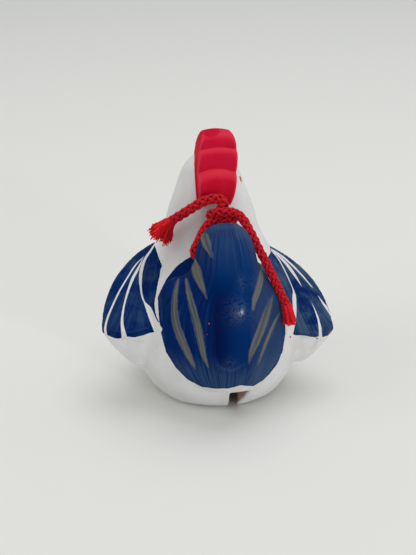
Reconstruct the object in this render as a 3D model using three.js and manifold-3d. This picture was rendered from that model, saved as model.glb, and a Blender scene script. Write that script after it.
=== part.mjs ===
// Clay rooster bell: a hollow, press-moulded clay bird with a loose pellet inside, a slit in its base and a red
// braided cord through its tail. Millimetres, +Z up, +Y towards the beak, base on Z = 0.
import * as THREE from "three";
import { LoftGeometry } from "three/addons/geometries/LoftGeometry.js";
import { mergeVertices } from "three/addons/utils/BufferGeometryUtils.js";
import Module from "manifold-3d";

// Body, neck and head
const BASE_HALF_WIDTH = 17.0;
const BASE_HALF_LENGTH = 18.0;
const FOOT_ROUND = 2.2;
const BELLY_HEIGHT = 19.0;
const BELLY_HALF_WIDTH = 25.5;
const BELLY_HALF_LENGTH = 26.5;
const BACK_HEIGHT = 31.0;
const BACK_HALF_WIDTH = 22.0;
const BACK_REAR = 22.0;
const NECK_HEIGHT = 45.0;
const NECK_HALF_WIDTH = 14.4;
const NECK_REAR = 4.5;
const NECK_FRONT = 25.0;
const HEAD_HEIGHT = 59.0;
const HEAD_HALF_WIDTH = 9.8;
const HEAD_NAPE = 0.5;
const HEAD_FRONT = 22.0;
const CROWN_HEIGHT = 69.0;
const BODY_POWER = 2.15;
const SEAM_GAP = 0.3;
const SEAM_SET = 2.2;

// Hollow, slit and pellet
const WALL = 4.6;
const BOWL_RADIUS = 20.5;
const FLOOR_THICKNESS = 5.0;
const SLIT_WIDTH = 4.4;
const SLIT_REACH = 50.0;
const SLIT_EYE = 5.6;
const PELLET_RADIUS = 5.0;
const PELLET_GAP = 0.3;

// Tail
const TAIL_TOP = 57.4;
const TAIL_TOP_HALF_WIDTH = 7.0;
const TAIL_THICKNESS = 12.0;
const TAIL_LEAN = 18.5;
const APRON_HALF_WIDTH = 18.6;
const APRON_HEIGHT = 28.0;
const APRON_FOOT = 8.4;
const APRON_THICKNESS = 1.4;
const APRON_EDGE_TAPER = 0.93;
const TAIL_POWER = 2.2;
const TONGUE_HALF_WIDTH = 6.8;
const TONGUE_RISE = 3.4;
const CORD_HOLE_HEIGHT = 46.0;
const CORD_HOLE_SET = 3.6;

// Wings
const WING_SPAN = 69.0;
const WING_TIP_HEIGHT = 22.0;
const WING_TIP_SET = 10.0;
const WING_SHOULDER_HEIGHT = 40.0;
const WING_SHOULDER_SET = 11.0;
const WING_DEPTH = 11.0;
const WING_BOW = 3.0;
const WING_SKEW = 1.5;

// Comb
const COMB_THICKNESS = 13.2;
const COMB_TOP = 75.0;
const COMB_LEAN = 1.2;
const COMB_TOP_TAPER = 0.66;
const COMB_FOOT_TAPER = 0.88;
const COMB_FRONT_TAPER = 0.78;
const COMB_BEVEL = 1.5;

// Beak and wattles
const BEAK_LENGTH = 9.8;
const BEAK_RADIUS = 4.4;
const BEAK_DROOP = 0.18;
const WATTLE_LENGTH = 9.0;
const WATTLE_RADIUS = 2.6;
const WATTLE_SPREAD = 3.4;

// Cord
const CORD_DIAMETER = 2.9;
const CORD_PLAY = 0.5;
const CORD_GAP = 0.3;
const LEFT_TUFT = 5.4;
const RIGHT_TUFT = 4.2;

const SLIP_GAP = 0.3;

const wasm = await Module();
wasm.setup();

function solidOf(geometry) {
  const bare = new THREE.BufferGeometry();
  bare.setAttribute("position", geometry.getAttribute("position"));
  bare.setIndex(geometry.index);
  const merged = mergeVertices(bare, 1e-4);
  const mesh = new wasm.Mesh({
    numProp: 3,
    vertProperties: new Float32Array(merged.attributes.position.array),
    triVerts: new Uint32Array(merged.index.array),
  });
  return new wasm.Manifold(mesh);
}

function geometryOf(solid) {
  const mesh = solid.getMesh();
  const positions = new Float32Array(mesh.numVert * 3);
  for (let i = 0; i < mesh.numVert; i++) {
    for (let k = 0; k < 3; k++) {
      positions[3 * i + k] = mesh.vertProperties[mesh.numProp * i + k];
    }
  }
  const geometry = new THREE.BufferGeometry();
  geometry.setAttribute("position", new THREE.BufferAttribute(positions, 3));
  geometry.setIndex(Array.from(mesh.triVerts));
  return geometry;
}

// Catmull-Rom through rows of numbers, all columns with the same parameter.
function through(rows, t) {
  const span = Math.min(Math.floor(t * (rows.length - 1)), rows.length - 2);
  const u = t * (rows.length - 1) - span;
  const at = (i) => rows[Math.max(0, Math.min(rows.length - 1, i))];
  return rows[span].map((_, k) => {
    const a = at(span - 1)[k];
    const b = at(span)[k];
    const c = at(span + 1)[k];
    const d = at(span + 2)[k];
    return b + 0.5 * u * (c - a + u * (2 * a - 5 * b + 4 * c - d + u * (3 * (b - c) + d - a)));
  });
}

function superellipse(angle, power) {
  const c = Math.cos(angle);
  const s = Math.sin(angle);
  return [Math.sign(c) * Math.abs(c) ** (2 / power), Math.sign(s) * Math.abs(s) ** (2 / power)];
}

// Rows of the body: height, half width, rear and front.
const bodyRows = [
  [0, BASE_HALF_WIDTH, -BASE_HALF_LENGTH, BASE_HALF_LENGTH],
  [FOOT_ROUND, BASE_HALF_WIDTH + 1.3 * FOOT_ROUND, -BASE_HALF_LENGTH - 1.3 * FOOT_ROUND,
    BASE_HALF_LENGTH + 1.3 * FOOT_ROUND],
  [0.5 * BELLY_HEIGHT, 0.94 * BELLY_HALF_WIDTH, -0.94 * BELLY_HALF_LENGTH, 0.94 * BELLY_HALF_LENGTH],
  [BELLY_HEIGHT, BELLY_HALF_WIDTH, -BELLY_HALF_LENGTH, BELLY_HALF_LENGTH],
  [BACK_HEIGHT, BACK_HALF_WIDTH, -BACK_REAR, BELLY_HALF_LENGTH + 0.8],
  [0.5 * (BACK_HEIGHT + NECK_HEIGHT), 0.5 * (BACK_HALF_WIDTH + NECK_HALF_WIDTH) - 0.4, -NECK_REAR - 5.5,
    NECK_FRONT + 1.6],
  [NECK_HEIGHT, NECK_HALF_WIDTH, -NECK_REAR, NECK_FRONT],
  [0.5 * (NECK_HEIGHT + HEAD_HEIGHT), 0.5 * (NECK_HALF_WIDTH + HEAD_HALF_WIDTH) + 0.2, -0.3 * NECK_REAR,
    0.5 * (NECK_FRONT + HEAD_FRONT)],
  [HEAD_HEIGHT, HEAD_HALF_WIDTH, HEAD_NAPE, HEAD_FRONT],
  [0.45 * HEAD_HEIGHT + 0.55 * CROWN_HEIGHT, 0.78 * HEAD_HALF_WIDTH, HEAD_NAPE + 2.6, HEAD_FRONT - 2.4],
  [0.14 * HEAD_HEIGHT + 0.86 * CROWN_HEIGHT, 0.48 * HEAD_HALF_WIDTH, HEAD_NAPE + 5.4, HEAD_FRONT - 5.4],
  [CROWN_HEIGHT, 0.14 * HEAD_HALF_WIDTH, HEAD_NAPE + 9.0, HEAD_FRONT - 9.0],
];

// The body as one solid, moved outwards by grow; a negative grow gives the inner face of its wall.
function bodySolid(grow, around, steps) {
  const sections = [];
  for (let i = 0; i <= steps; i++) {
    const [height, halfWidth, rear, front] = through(bodyRows, i / steps);
    const ends = i === 0 ? Math.min(0, -grow) : i === steps ? grow : 0;
    const a = halfWidth + grow;
    const b = 0.5 * (front - rear) + grow;
    const middle = 0.5 * (front + rear);
    if (a < 1) {
      break;
    }
    const ring = [];
    for (let k = 0; k < around; k++) {
      const [c, s] = superellipse((2 * Math.PI * k) / around, BODY_POWER);
      ring.push(new THREE.Vector3(a * c, middle + b * s, height + ends));
    }
    sections.push(ring);
  }
  return solidOf(new LoftGeometry(sections, { closed: true, capStart: true, capEnd: true }));
}

const BOWL_CENTRE_HEIGHT = FLOOR_THICKNESS + BOWL_RADIUS;

// The hollow: a round bowl below, the inner face of the wall above.
function hollowSolid() {
  const profile = [];
  for (let i = 0; i <= 14; i++) {
    const angle = (0.5 * Math.PI * i) / 14;
    profile.push(new THREE.Vector2(BOWL_RADIUS * Math.sin(angle), -BOWL_RADIUS * Math.cos(angle)));
  }
  profile[0].x = 0;
  profile.push(new THREE.Vector2(BOWL_RADIUS, CROWN_HEIGHT));
  profile.push(new THREE.Vector2(0, CROWN_HEIGHT));
  const bowl = new THREE.LatheGeometry(profile, 32);
  bowl.rotateX(0.5 * Math.PI);
  bowl.translate(0, 0, BOWL_CENTRE_HEIGHT);
  return bodySolid(-WALL, 32, 22).intersect(solidOf(bowl));
}

// The slit: a sector about the bowl's centre, with a round eye at each end.
function slitSolid() {
  const reach = THREE.MathUtils.degToRad(SLIT_REACH);
  const far = 2.2 * BOWL_RADIUS;
  const shape = new THREE.Shape();
  shape.moveTo(0, 0);
  shape.lineTo(-far * Math.sin(reach), -far * Math.cos(reach));
  shape.lineTo(far * Math.sin(reach), -far * Math.cos(reach));
  shape.closePath();
  const sector = new THREE.ExtrudeGeometry(shape, { depth: SLIT_WIDTH, bevelEnabled: false });
  sector.translate(0, 0, SEAM_SET - 0.5 * SLIT_WIDTH);
  sector.applyMatrix4(new THREE.Matrix4().makeBasis(
    new THREE.Vector3(0, 1, 0), new THREE.Vector3(0, 0, 1), new THREE.Vector3(1, 0, 0)));
  sector.translate(0, 0, BOWL_CENTRE_HEIGHT);
  let slit = solidOf(sector);
  for (const side of [-1, 1]) {
    const eye = new THREE.CylinderGeometry(0.5 * SLIT_EYE, 0.5 * SLIT_EYE, BOWL_RADIUS, 20);
    eye.translate(0, -BOWL_RADIUS, 0);
    eye.rotateX(0.5 * Math.PI);
    eye.rotateX(side * reach);
    eye.translate(SEAM_SET, 0, BOWL_CENTRE_HEIGHT);
    slit = slit.add(solidOf(eye));
  }
  return slit;
}

// Where the body's rear face lies at a height, at a distance x from its middle.
function bodyRear(x, z) {
  let low = 0;
  let high = 1;
  for (let i = 0; i < 30; i++) {
    const t = 0.5 * (low + high);
    if (through(bodyRows, t)[0] < z) {
      low = t;
    } else {
      high = t;
    }
  }
  const [, halfWidth, rear, front] = through(bodyRows, low);
  const share = Math.max(0, 1 - (Math.abs(x) / halfWidth) ** BODY_POWER) ** (1 / BODY_POWER);
  return 0.5 * (front + rear) - 0.5 * (front - rear) * share;
}

// Tail sections: rounded in front, with the tongue standing proud behind. Rows: height, half width, middle,
// depth behind the middle, depth in front of it, tongue rise. An apron row runs out on the body's own face.
function apronRow(height, halfWidth, rear, rise) {
  const share = (1 - APRON_EDGE_TAPER ** TAIL_POWER) ** (1 / TAIL_POWER);
  const behind = (bodyRear(APRON_EDGE_TAPER * halfWidth, height) - rear) / (1 - share);
  return [height, halfWidth, rear + behind, behind, 3.0, rise];
}

const APRON_SPAN = APRON_HEIGHT - APRON_FOOT;
const rumpRear = (height) => bodyRear(0, height) - APRON_THICKNESS;
const STEM_FOOT = APRON_HEIGHT + 17.0;

const tailRows = [
  apronRow(APRON_FOOT, 0.32 * APRON_HALF_WIDTH, rumpRear(APRON_FOOT) + 0.7, 0.1 * TONGUE_RISE),
  apronRow(APRON_FOOT + 0.12 * APRON_SPAN, 0.58 * APRON_HALF_WIDTH, rumpRear(APRON_FOOT + 0.12 * APRON_SPAN),
    0.5 * TONGUE_RISE),
  apronRow(APRON_FOOT + 0.38 * APRON_SPAN, 0.82 * APRON_HALF_WIDTH, rumpRear(APRON_FOOT + 0.38 * APRON_SPAN),
    TONGUE_RISE),
  apronRow(APRON_FOOT + 0.7 * APRON_SPAN, 0.98 * APRON_HALF_WIDTH, rumpRear(APRON_FOOT + 0.7 * APRON_SPAN),
    TONGUE_RISE),
  apronRow(APRON_HEIGHT + 1.0, APRON_HALF_WIDTH, rumpRear(APRON_HEIGHT + 1.0) - 0.4, TONGUE_RISE),
  [APRON_HEIGHT + 7.5, 0.9 * APRON_HALF_WIDTH, -TAIL_LEAN + 8.6, 15.0, 4.0, TONGUE_RISE],
  [APRON_HEIGHT + 13.0, 0.68 * APRON_HALF_WIDTH, -TAIL_LEAN + 5.2, 11.2, 5.0, TONGUE_RISE],
  [STEM_FOOT, TAIL_TOP_HALF_WIDTH + 1.8, -TAIL_LEAN + 1.4, 0.6 * TAIL_THICKNESS, 0.52 * TAIL_THICKNESS,
    0.9 * TONGUE_RISE],
  [0.5 * (STEM_FOOT + TAIL_TOP), TAIL_TOP_HALF_WIDTH + 0.6, -TAIL_LEAN, 0.52 * TAIL_THICKNESS,
    0.48 * TAIL_THICKNESS, 0.6 * TONGUE_RISE],
  [TAIL_TOP - 2.4, TAIL_TOP_HALF_WIDTH - 0.8, -TAIL_LEAN - 0.8, 0.42 * TAIL_THICKNESS, 0.34 * TAIL_THICKNESS,
    0.2 * TONGUE_RISE],
  [TAIL_TOP, 0.55 * TAIL_TOP_HALF_WIDTH, -TAIL_LEAN - 0.4, 0.2 * TAIL_THICKNESS, 0.16 * TAIL_THICKNESS, 0],
];

function tailSolid(around, steps) {
  const sections = [];
  for (let i = 0; i <= steps; i++) {
    const [height, halfWidth, middle, behind, before, rise] = through(tailRows, i / steps);
    const ring = [];
    for (let k = 0; k < around; k++) {
      const [c, s] = superellipse((2 * Math.PI * k) / around, TAIL_POWER);
      const x = halfWidth * c;
      const tongue = rise * Math.exp(-((x / TONGUE_HALF_WIDTH) ** 4));
      const y = s < 0 ? middle + behind * s + tongue * s : middle + before * s;
      ring.push(new THREE.Vector3(x, y, height));
    }
    sections.push(ring);
  }
  return solidOf(new LoftGeometry(sections, { closed: true, capStart: true, capEnd: true }));
}

function cordHole() {
  const radius = 0.5 * CORD_DIAMETER + CORD_PLAY;
  const hole = new THREE.CylinderGeometry(radius, radius, 4 * TAIL_TOP_HALF_WIDTH, 16);
  hole.rotateZ(0.5 * Math.PI);
  hole.translate(0, -TAIL_LEAN + CORD_HOLE_SET, CORD_HOLE_HEIGHT);
  return solidOf(hole);
}

// Right wing: from a point on the shoulder it spreads to a thick trailing face.
function wingSolid(side, around, steps) {
  const half = 0.5 * WING_SPAN;
  const shoulder = new THREE.Vector3(NECK_HALF_WIDTH, WING_SHOULDER_SET, WING_SHOULDER_HEIGHT);
  const tip = new THREE.Vector3(half, -WING_TIP_SET, WING_TIP_HEIGHT);
  const edge = new THREE.CubicBezierCurve3(
    shoulder,
    new THREE.Vector3(NECK_HALF_WIDTH + 0.45 * (half - NECK_HALF_WIDTH), 0.7 * WING_SHOULDER_SET,
      WING_SHOULDER_HEIGHT - 3.5),
    new THREE.Vector3(half - 0.8, 0, WING_TIP_HEIGHT + 9.5),
    tip,
  );
  const upper = new THREE.LineCurve3(
    new THREE.Vector3(NECK_HALF_WIDTH - 4, WING_SHOULDER_SET, WING_SHOULDER_HEIGHT - 1.5),
    new THREE.Vector3(BELLY_HALF_WIDTH - 6.0, -WING_TIP_SET - 4.0, WING_TIP_HEIGHT + 2.0),
  );
  const lower = new THREE.LineCurve3(
    new THREE.Vector3(NECK_HALF_WIDTH - 2, WING_SHOULDER_SET + 2, WING_SHOULDER_HEIGHT - 10),
    new THREE.Vector3(BELLY_HALF_WIDTH - 1.5, -WING_TIP_SET - 2.0, WING_TIP_HEIGHT - WING_DEPTH),
  );
  const sections = [];
  for (let i = 0; i <= steps; i++) {
    const t = i / steps;
    const a = upper.getPoint(t);
    const b = edge.getPoint(t);
    const c = lower.getPoint(t);
    const inner = a.clone().lerp(c, 0.5);
    inner.x -= 8;
    const points = [
      a.clone().lerp(b, 0.5).add(new THREE.Vector3(0.5, -WING_BOW * t, 0.8)),
      a,
      inner,
      c,
      c.clone().lerp(b, 0.55).add(new THREE.Vector3(0.6 * t, -0.5 * WING_BOW * t, -0.5 * t)),
      b.clone().lerp(c, 0.09),
      b,
      b.clone().lerp(a, 0.08),
    ];
    const ring = new THREE.CatmullRomCurve3(points, true, "centripetal").getPoints(around);
    ring.pop();
    sections.push(ring.map((p) => new THREE.Vector3(side * p.x, p.y, p.z)));
  }
  const rim = sections[steps];
  const middle = rim.reduce((sum, p) => sum.add(p), new THREE.Vector3()).divideScalar(rim.length);
  for (const [share, back] of [[0.06, 0.4], [0.5, 0.6 * WING_BOW]]) {
    sections.push(rim.map((p) => p.clone().lerp(middle, share).add(new THREE.Vector3(0, -back, 0))));
  }
  if (side < 0) {
    sections.forEach((ring) => ring.reverse());
  }
  const wing = new LoftGeometry(sections, { closed: true, capStart: true, capEnd: true });
  wing.translate(0, 0, -side * WING_SKEW);
  return solidOf(wing);
}

// Comb: a lobed outline in the middle plane, given its thickness sideways, narrower above.
function combSolid() {
  // Shares of the head's length from nape to front, and of the comb's rise over the head's widest height.
  const along = (share) => HEAD_NAPE + share * (HEAD_FRONT - HEAD_NAPE);
  const up = (share) => HEAD_HEIGHT + share * (COMB_TOP - HEAD_HEIGHT);
  const shape = new THREE.Shape();
  shape.moveTo(along(0.19), up(-0.06));
  shape.lineTo(along(-0.04), up(-0.09));
  shape.quadraticCurveTo(along(-0.14), up(0.19), along(-0.075), up(0.36));
  shape.quadraticCurveTo(along(0), up(0.45), along(0.11), up(0.425));
  shape.quadraticCurveTo(along(0.065), up(0.625), along(0.16), up(0.725));
  shape.quadraticCurveTo(along(0.26), up(0.79), along(0.345), up(0.725));
  shape.quadraticCurveTo(along(0.37), up(0.96), along(0.56), up(1));
  shape.quadraticCurveTo(along(0.745), up(0.97), along(0.815), up(0.69));
  shape.lineTo(along(0.84), up(0.31));
  shape.lineTo(along(0.465), up(0.25));
  shape.closePath();
  const comb = new THREE.ExtrudeGeometry(shape, {
    depth: COMB_THICKNESS - 2 * COMB_BEVEL,
    bevelEnabled: true,
    bevelThickness: COMB_BEVEL,
    bevelSize: COMB_BEVEL,
    bevelOffset: -COMB_BEVEL,
    bevelSegments: 2,
    curveSegments: 5,
  });
  comb.translate(0, 0, -0.5 * COMB_THICKNESS + COMB_BEVEL);
  comb.applyMatrix4(new THREE.Matrix4().makeBasis(
    new THREE.Vector3(0, 1, 0), new THREE.Vector3(0, 0, 1), new THREE.Vector3(1, 0, 0)));
  const place = comb.getAttribute("position");
  for (let i = 0; i < place.count; i++) {
    const rise = (place.getZ(i) - HEAD_HEIGHT) / (COMB_TOP - HEAD_HEIGHT);
    const upper = (1 - COMB_TOP_TAPER) * Math.max(0, (rise - 0.4) / 0.6) ** 1.5;
    const lower = (1 - COMB_FOOT_TAPER) * Math.max(0, (0.4 - rise) / 0.4) ** 1.5;
    const forward = Math.max(0, place.getY(i) - along(0.23)) / (along(0.79) - along(0.23));
    const front = (1 - COMB_FRONT_TAPER) * forward;
    place.setX(i, COMB_LEAN * rise + (1 - upper - lower - front) * place.getX(i));
  }
  return solidOf(comb);
}

const BEAK_ROOT = 0.9 * HEAD_HEIGHT + 0.1 * CROWN_HEIGHT;

function beakSolid() {
  const profile = [
    new THREE.Vector2(0, -0.5 * BEAK_LENGTH),
    new THREE.Vector2(BEAK_RADIUS, -0.5 * BEAK_LENGTH),
    new THREE.Vector2(BEAK_RADIUS, 0.1 * BEAK_LENGTH),
    new THREE.Vector2(0.76 * BEAK_RADIUS, 0.5 * BEAK_LENGTH),
    new THREE.Vector2(0.46 * BEAK_RADIUS, 0.82 * BEAK_LENGTH),
    new THREE.Vector2(0.2 * BEAK_RADIUS, 0.97 * BEAK_LENGTH),
    new THREE.Vector2(0, BEAK_LENGTH),
  ];
  const beak = new THREE.LatheGeometry(profile, 16);
  beak.translate(0, HEAD_FRONT, 0);
  beak.rotateX(-BEAK_DROOP);
  beak.translate(0, 0, BEAK_ROOT + HEAD_FRONT * Math.sin(BEAK_DROOP));
  return solidOf(beak);
}

function wattleSolid(side) {
  const profile = [];
  for (let i = 0; i <= 8; i++) {
    const angle = (Math.PI * i) / 8;
    const swell = WATTLE_RADIUS * (1 + 0.25 * Math.cos(angle));
    profile.push(new THREE.Vector2(swell * Math.sin(angle), -0.5 * WATTLE_LENGTH * Math.cos(angle)));
  }
  profile[0].x = 0;
  profile[8].x = 0;
  const wattle = new THREE.LatheGeometry(profile, 14);
  wattle.rotateX(0.5 * Math.PI);
  const throat = 0.5 * (NECK_FRONT + HEAD_FRONT);
  wattle.translate(side * WATTLE_SPREAD, throat + 0.9, BEAK_ROOT - 8.5);
  return solidOf(wattle);
}

// Cord: one braided length through the tail, tied above it. Routes as chosen points.
const KNOT = new THREE.Vector3(0.9, -6.0, 55.9);
const KNOT_SIZE = new THREE.Vector3(8.2, 5.6, 5.6);
const HOLE_Y = -TAIL_LEAN + CORD_HOLE_SET;
const loopRoute = [
  [-1.0, -6.3, 55.4], [-3.3, -7.4, 54.6], [-6.0, -10.2, 52.6], [-8.4, -12.9, 49.9], [-9.2, -14.2, 47.7],
  [-8.3, HOLE_Y, CORD_HOLE_HEIGHT + 0.3], [-6.0, HOLE_Y, CORD_HOLE_HEIGHT], [0, HOLE_Y, CORD_HOLE_HEIGHT],
  [6.0, HOLE_Y, CORD_HOLE_HEIGHT], [8.3, HOLE_Y, CORD_HOLE_HEIGHT + 0.3], [9.2, -13.7, 47.9],
  [7.8, -10.8, 49.8], [4.8, -8.0, 52.0], [1.6, -6.4, 54.6],
];
const leftRoute = [
  [2.2, -5.6, 57.2], [1.0, -5.2, 59.4], [-1.2, -5.0, 60.5], [-3.4, -4.7, 60.1], [-6.3, -3.9, 58.3],
  [-8.9, -2.9, 56.1], [-12.7, -1.0, 52.6],
];
const leftTipRoute = [[-12.7, -1.0, 52.6], [-14.6, 0.0, 50.0], [-16.8, 1.0, 46.6]];
const rightRoute = [
  [3.0, -6.2, 56.8], [5.2, -7.8, 56.6], [7.2, -11.0, 55.3], [8.8, -15.2, 52.6], [9.9, -18.2, 49.4],
  [11.6, -19.6, 45.6], [14.9, -19.2, 38.2], [17.7, -18.8, 31.8],
];
const rightTipRoute = [[17.7, -18.8, 31.8], [18.6, -18.9, 28.6], [19.3, -19.1, 25.4]];

function vectors(route) {
  return route.map((p) => new THREE.Vector3(...p));
}

// A round cord along a route, 8 sided, with the ends square to it.
function cordSolid(route, diameter) {
  const curve = new THREE.CatmullRomCurve3(vectors(route), false, "centripetal");
  const shape = new THREE.Shape();
  for (let k = 0; k < 8; k++) {
    const angle = (Math.PI * (k + 0.5)) / 4;
    shape[k ? "lineTo" : "moveTo"](0.5 * diameter * Math.cos(angle), 0.5 * diameter * Math.sin(angle));
  }
  shape.closePath();
  const steps = Math.ceil(curve.getLength() / (0.8 * diameter));
  return solidOf(new THREE.ExtrudeGeometry(shape, { steps, extrudePath: curve }));
}

function knotSolid(grow) {
  const knot = new THREE.SphereGeometry(0.5, 16, 10);
  knot.scale(KNOT_SIZE.x + 2 * grow, KNOT_SIZE.y + 2 * grow, KNOT_SIZE.z + 2 * grow);
  knot.translate(KNOT.x, KNOT.y, KNOT.z);
  return solidOf(knot);
}

// A frayed end: the strands open from the cord's own thickness into a blunt tuft.
function tuftSolid(route, start, spread) {
  const curve = new THREE.CatmullRomCurve3(vectors(route), false, "centripetal");
  const length = curve.getLength();
  const frames = curve.computeFrenetFrames(6, false);
  const sections = [];
  for (let i = 0; i <= 6; i++) {
    const t = (CORD_GAP + (i / 6) * (length - CORD_GAP)) / length;
    const centre = curve.getPointAt(t);
    const open = i === 6 ? 0.7 : 1;
    const radius = 0.5 * open * (start + (spread - start) * Math.sin(0.5 * Math.PI * t));
    const ring = [];
    for (let k = 0; k < 10; k++) {
      const angle = (2 * Math.PI * k) / 10;
      const along = frames.normals[i].clone().multiplyScalar(radius * Math.cos(angle));
      const across = frames.binormals[i].clone().multiplyScalar(radius * Math.sin(angle));
      ring.push(centre.clone().add(along).add(across));
    }
    sections.push(ring);
  }
  return solidOf(new LoftGeometry(sections, { closed: true, capStart: true, capEnd: true }));
}

const clearBody = bodySolid(SLIP_GAP, 40, 33);
const shell = bodySolid(0, 40, 33).subtract(hollowSolid()).subtract(slitSolid());
const cordWay = cordSolid(loopRoute, CORD_DIAMETER + 2 * CORD_PLAY);
const tail = tailSolid(36, 26).subtract(cordHole()).subtract(cordWay).subtract(clearBody);
const comb = combSolid().subtract(clearBody);

// The pellet rests on the slit's two edges and rolls along them about the bowl's centre.
const pelletReach = Math.sqrt((PELLET_RADIUS + PELLET_GAP) ** 2 - (0.5 * SLIT_WIDTH) ** 2);
const railRadius = Math.sqrt(BOWL_RADIUS ** 2 - (SEAM_SET + 0.5 * SLIT_WIDTH) ** 2);
const pellet = new THREE.SphereGeometry(PELLET_RADIUS, 18, 12);
pellet.rotateX(0.5 * Math.PI);
pellet.translate(SEAM_SET, 0, BOWL_CENTRE_HEIGHT - railRadius + pelletReach);

function halfOf(side) {
  const room = 2 * WING_SPAN;
  const block = new THREE.BoxGeometry(room, room, 2 * COMB_TOP);
  block.translate(SEAM_SET + 0.5 * side * (room + SEAM_GAP), 0, 0.5 * COMB_TOP);
  return shell.intersect(solidOf(block));
}

const rooster = new THREE.Group();
rooster.name = "clay_rooster_bell";

function addNode(name, geometry, colour, roughness) {
  const material = new THREE.MeshStandardMaterial({ color: colour, roughness, metalness: 0 });
  const mesh = new THREE.Mesh(geometry, material);
  mesh.name = name;
  rooster.add(mesh);
}

const WHITE = 0xdcd9d6;
const NAVY = 0x2b2c3f;
const RED = 0xb5303a;
const OCHRE = 0xc9922f;
const TERRACOTTA = 0xa9704c;
const CORD_RED = 0xc0303c;

addNode("left_body_half", geometryOf(halfOf(-1)), WHITE, 0.85);
addNode("right_body_half", geometryOf(halfOf(1)), WHITE, 0.85);
addNode("tail", geometryOf(tail), NAVY, 0.5);
addNode("left_wing", geometryOf(wingSolid(-1, 20, 10).subtract(clearBody)), NAVY, 0.6);
addNode("right_wing", geometryOf(wingSolid(1, 20, 10).subtract(clearBody)), NAVY, 0.6);
addNode("comb", geometryOf(comb), RED, 0.7);
addNode("beak", geometryOf(beakSolid().subtract(clearBody)), OCHRE, 0.7);
addNode("left_wattle", geometryOf(wattleSolid(-1).subtract(clearBody)), RED, 0.7);
addNode("right_wattle", geometryOf(wattleSolid(1).subtract(clearBody)), RED, 0.7);
addNode("rattle_pellet", pellet, TERRACOTTA, 0.9);

const knotClear = knotSolid(CORD_GAP);
addNode("cord_loop", geometryOf(cordSolid(loopRoute, CORD_DIAMETER).subtract(knotClear)), CORD_RED, 0.8);
addNode("cord_knot", geometryOf(knotSolid(0)), CORD_RED, 0.8);
addNode("cord_left_end", geometryOf(cordSolid(leftRoute, CORD_DIAMETER).subtract(knotClear)), CORD_RED, 0.8);
addNode("cord_right_end", geometryOf(cordSolid(rightRoute, CORD_DIAMETER).subtract(knotClear)), CORD_RED, 0.8);
addNode("left_frayed_tip", geometryOf(tuftSolid(leftTipRoute, CORD_DIAMETER, LEFT_TUFT)), CORD_RED, 0.8);
addNode("right_frayed_tip", geometryOf(tuftSolid(rightTipRoute, CORD_DIAMETER, RIGHT_TUFT)), CORD_RED, 0.8);

export default rooster;
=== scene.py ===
"""Looks of the clay rooster bell: painted clay skin, loose pellet and braided hanging cord.

Forms are worked out in millimetres in the CAD frame (+Z up, +Y towards the beak) and scaled to metres when
they become pieces.
"""

import logging
import math
from dataclasses import dataclass, field
from enum import Enum
from typing import Any, Iterable, Sequence

import bmesh
import bpy
import numpy as np
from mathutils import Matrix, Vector
from mathutils.bvhtree import BVHTree
from mathutils.kdtree import KDTree


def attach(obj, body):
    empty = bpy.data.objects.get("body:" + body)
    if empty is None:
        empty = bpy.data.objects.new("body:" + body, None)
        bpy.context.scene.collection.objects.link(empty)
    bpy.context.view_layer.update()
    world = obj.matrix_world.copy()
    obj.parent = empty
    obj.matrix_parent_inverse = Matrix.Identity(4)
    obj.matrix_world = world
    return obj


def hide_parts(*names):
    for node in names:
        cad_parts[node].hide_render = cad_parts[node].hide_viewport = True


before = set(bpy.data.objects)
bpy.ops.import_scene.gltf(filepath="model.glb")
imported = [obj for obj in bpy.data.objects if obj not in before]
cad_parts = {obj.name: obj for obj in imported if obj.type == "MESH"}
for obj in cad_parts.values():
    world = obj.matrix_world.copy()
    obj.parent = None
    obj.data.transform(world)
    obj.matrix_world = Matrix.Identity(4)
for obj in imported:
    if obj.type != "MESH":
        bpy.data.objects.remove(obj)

LOG = logging.getLogger("rooster_bell")
MM = 0.001

Colour = tuple[float, float, float, float]
Route = Sequence[Sequence[float]]


def srgb(red: int, green: int, blue: int) -> Colour:
    """Linear colour of an 8-bit screen colour."""
    parts = [c / 255 for c in (red, green, blue)]
    linear = [c / 12.92 if c <= 0.04045 else ((c + 0.055) / 1.055) ** 2.4 for c in parts]
    return (linear[0], linear[1], linear[2], 1.0)


class Body(str, Enum):
    """Moving bodies of the CAD frame."""

    BIRD = "bird"
    PELLET = "pellet"


class Slot(str, Enum):
    """Names of the pieces' main finishes."""

    WHITE = "white_clay"
    NAVY = "navy_clay"
    RED = "red_clay"
    OCHRE = "ochre_clay"
    BARE = "bare_clay"
    CORD = "red_cord"


class Layer(str, Enum):
    """Paint layers: signed distances in millimetres on the vertices, positive inside the paint."""

    BLUE = "paint_blue"
    OLIVE = "paint_olive"
    RED = "paint_red"
    OCHRE = "paint_ochre"
    BLACK = "paint_black"
    BARE = "paint_bare"
    CHIP = "paint_chip"


FEATHER_LINES = ("feather_a", "feather_b", "feather_c")
FLOW = "brush_flow"
TRAIL = "stripe_flow"
GIRTH = "girth"
LIFT = "yarn_lift"
BEND_AND_TOP_LIGHT = "bend_and_top_light"
GLOSS = "brush_gloss"
POLISH = "polish"
UNPAINTED = -20.0


# Objects


def linked(name: str, data: Any) -> bpy.types.Object:
    """New object in the scene."""
    made = bpy.data.objects.new(name, data)
    bpy.context.scene.collection.objects.link(made)
    return made


def declare(piece: bpy.types.Object, body: Body, nodes: Iterable[str]) -> None:
    """Hangs a piece on its body's empty and hides the CAD parts that it stands for."""
    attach(piece, body.value)
    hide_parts(*nodes)


def store(mesh: bpy.types.Mesh, name: str, values: np.ndarray) -> None:
    """Keeps one number or vector per vertex."""
    vectors = values.ndim == 2
    made = mesh.attributes.new(name, "FLOAT_VECTOR" if vectors else "FLOAT", "POINT")
    made.data.foreach_set("vector" if vectors else "value", values.astype(np.float32).ravel())


# Curves and lofts


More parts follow.
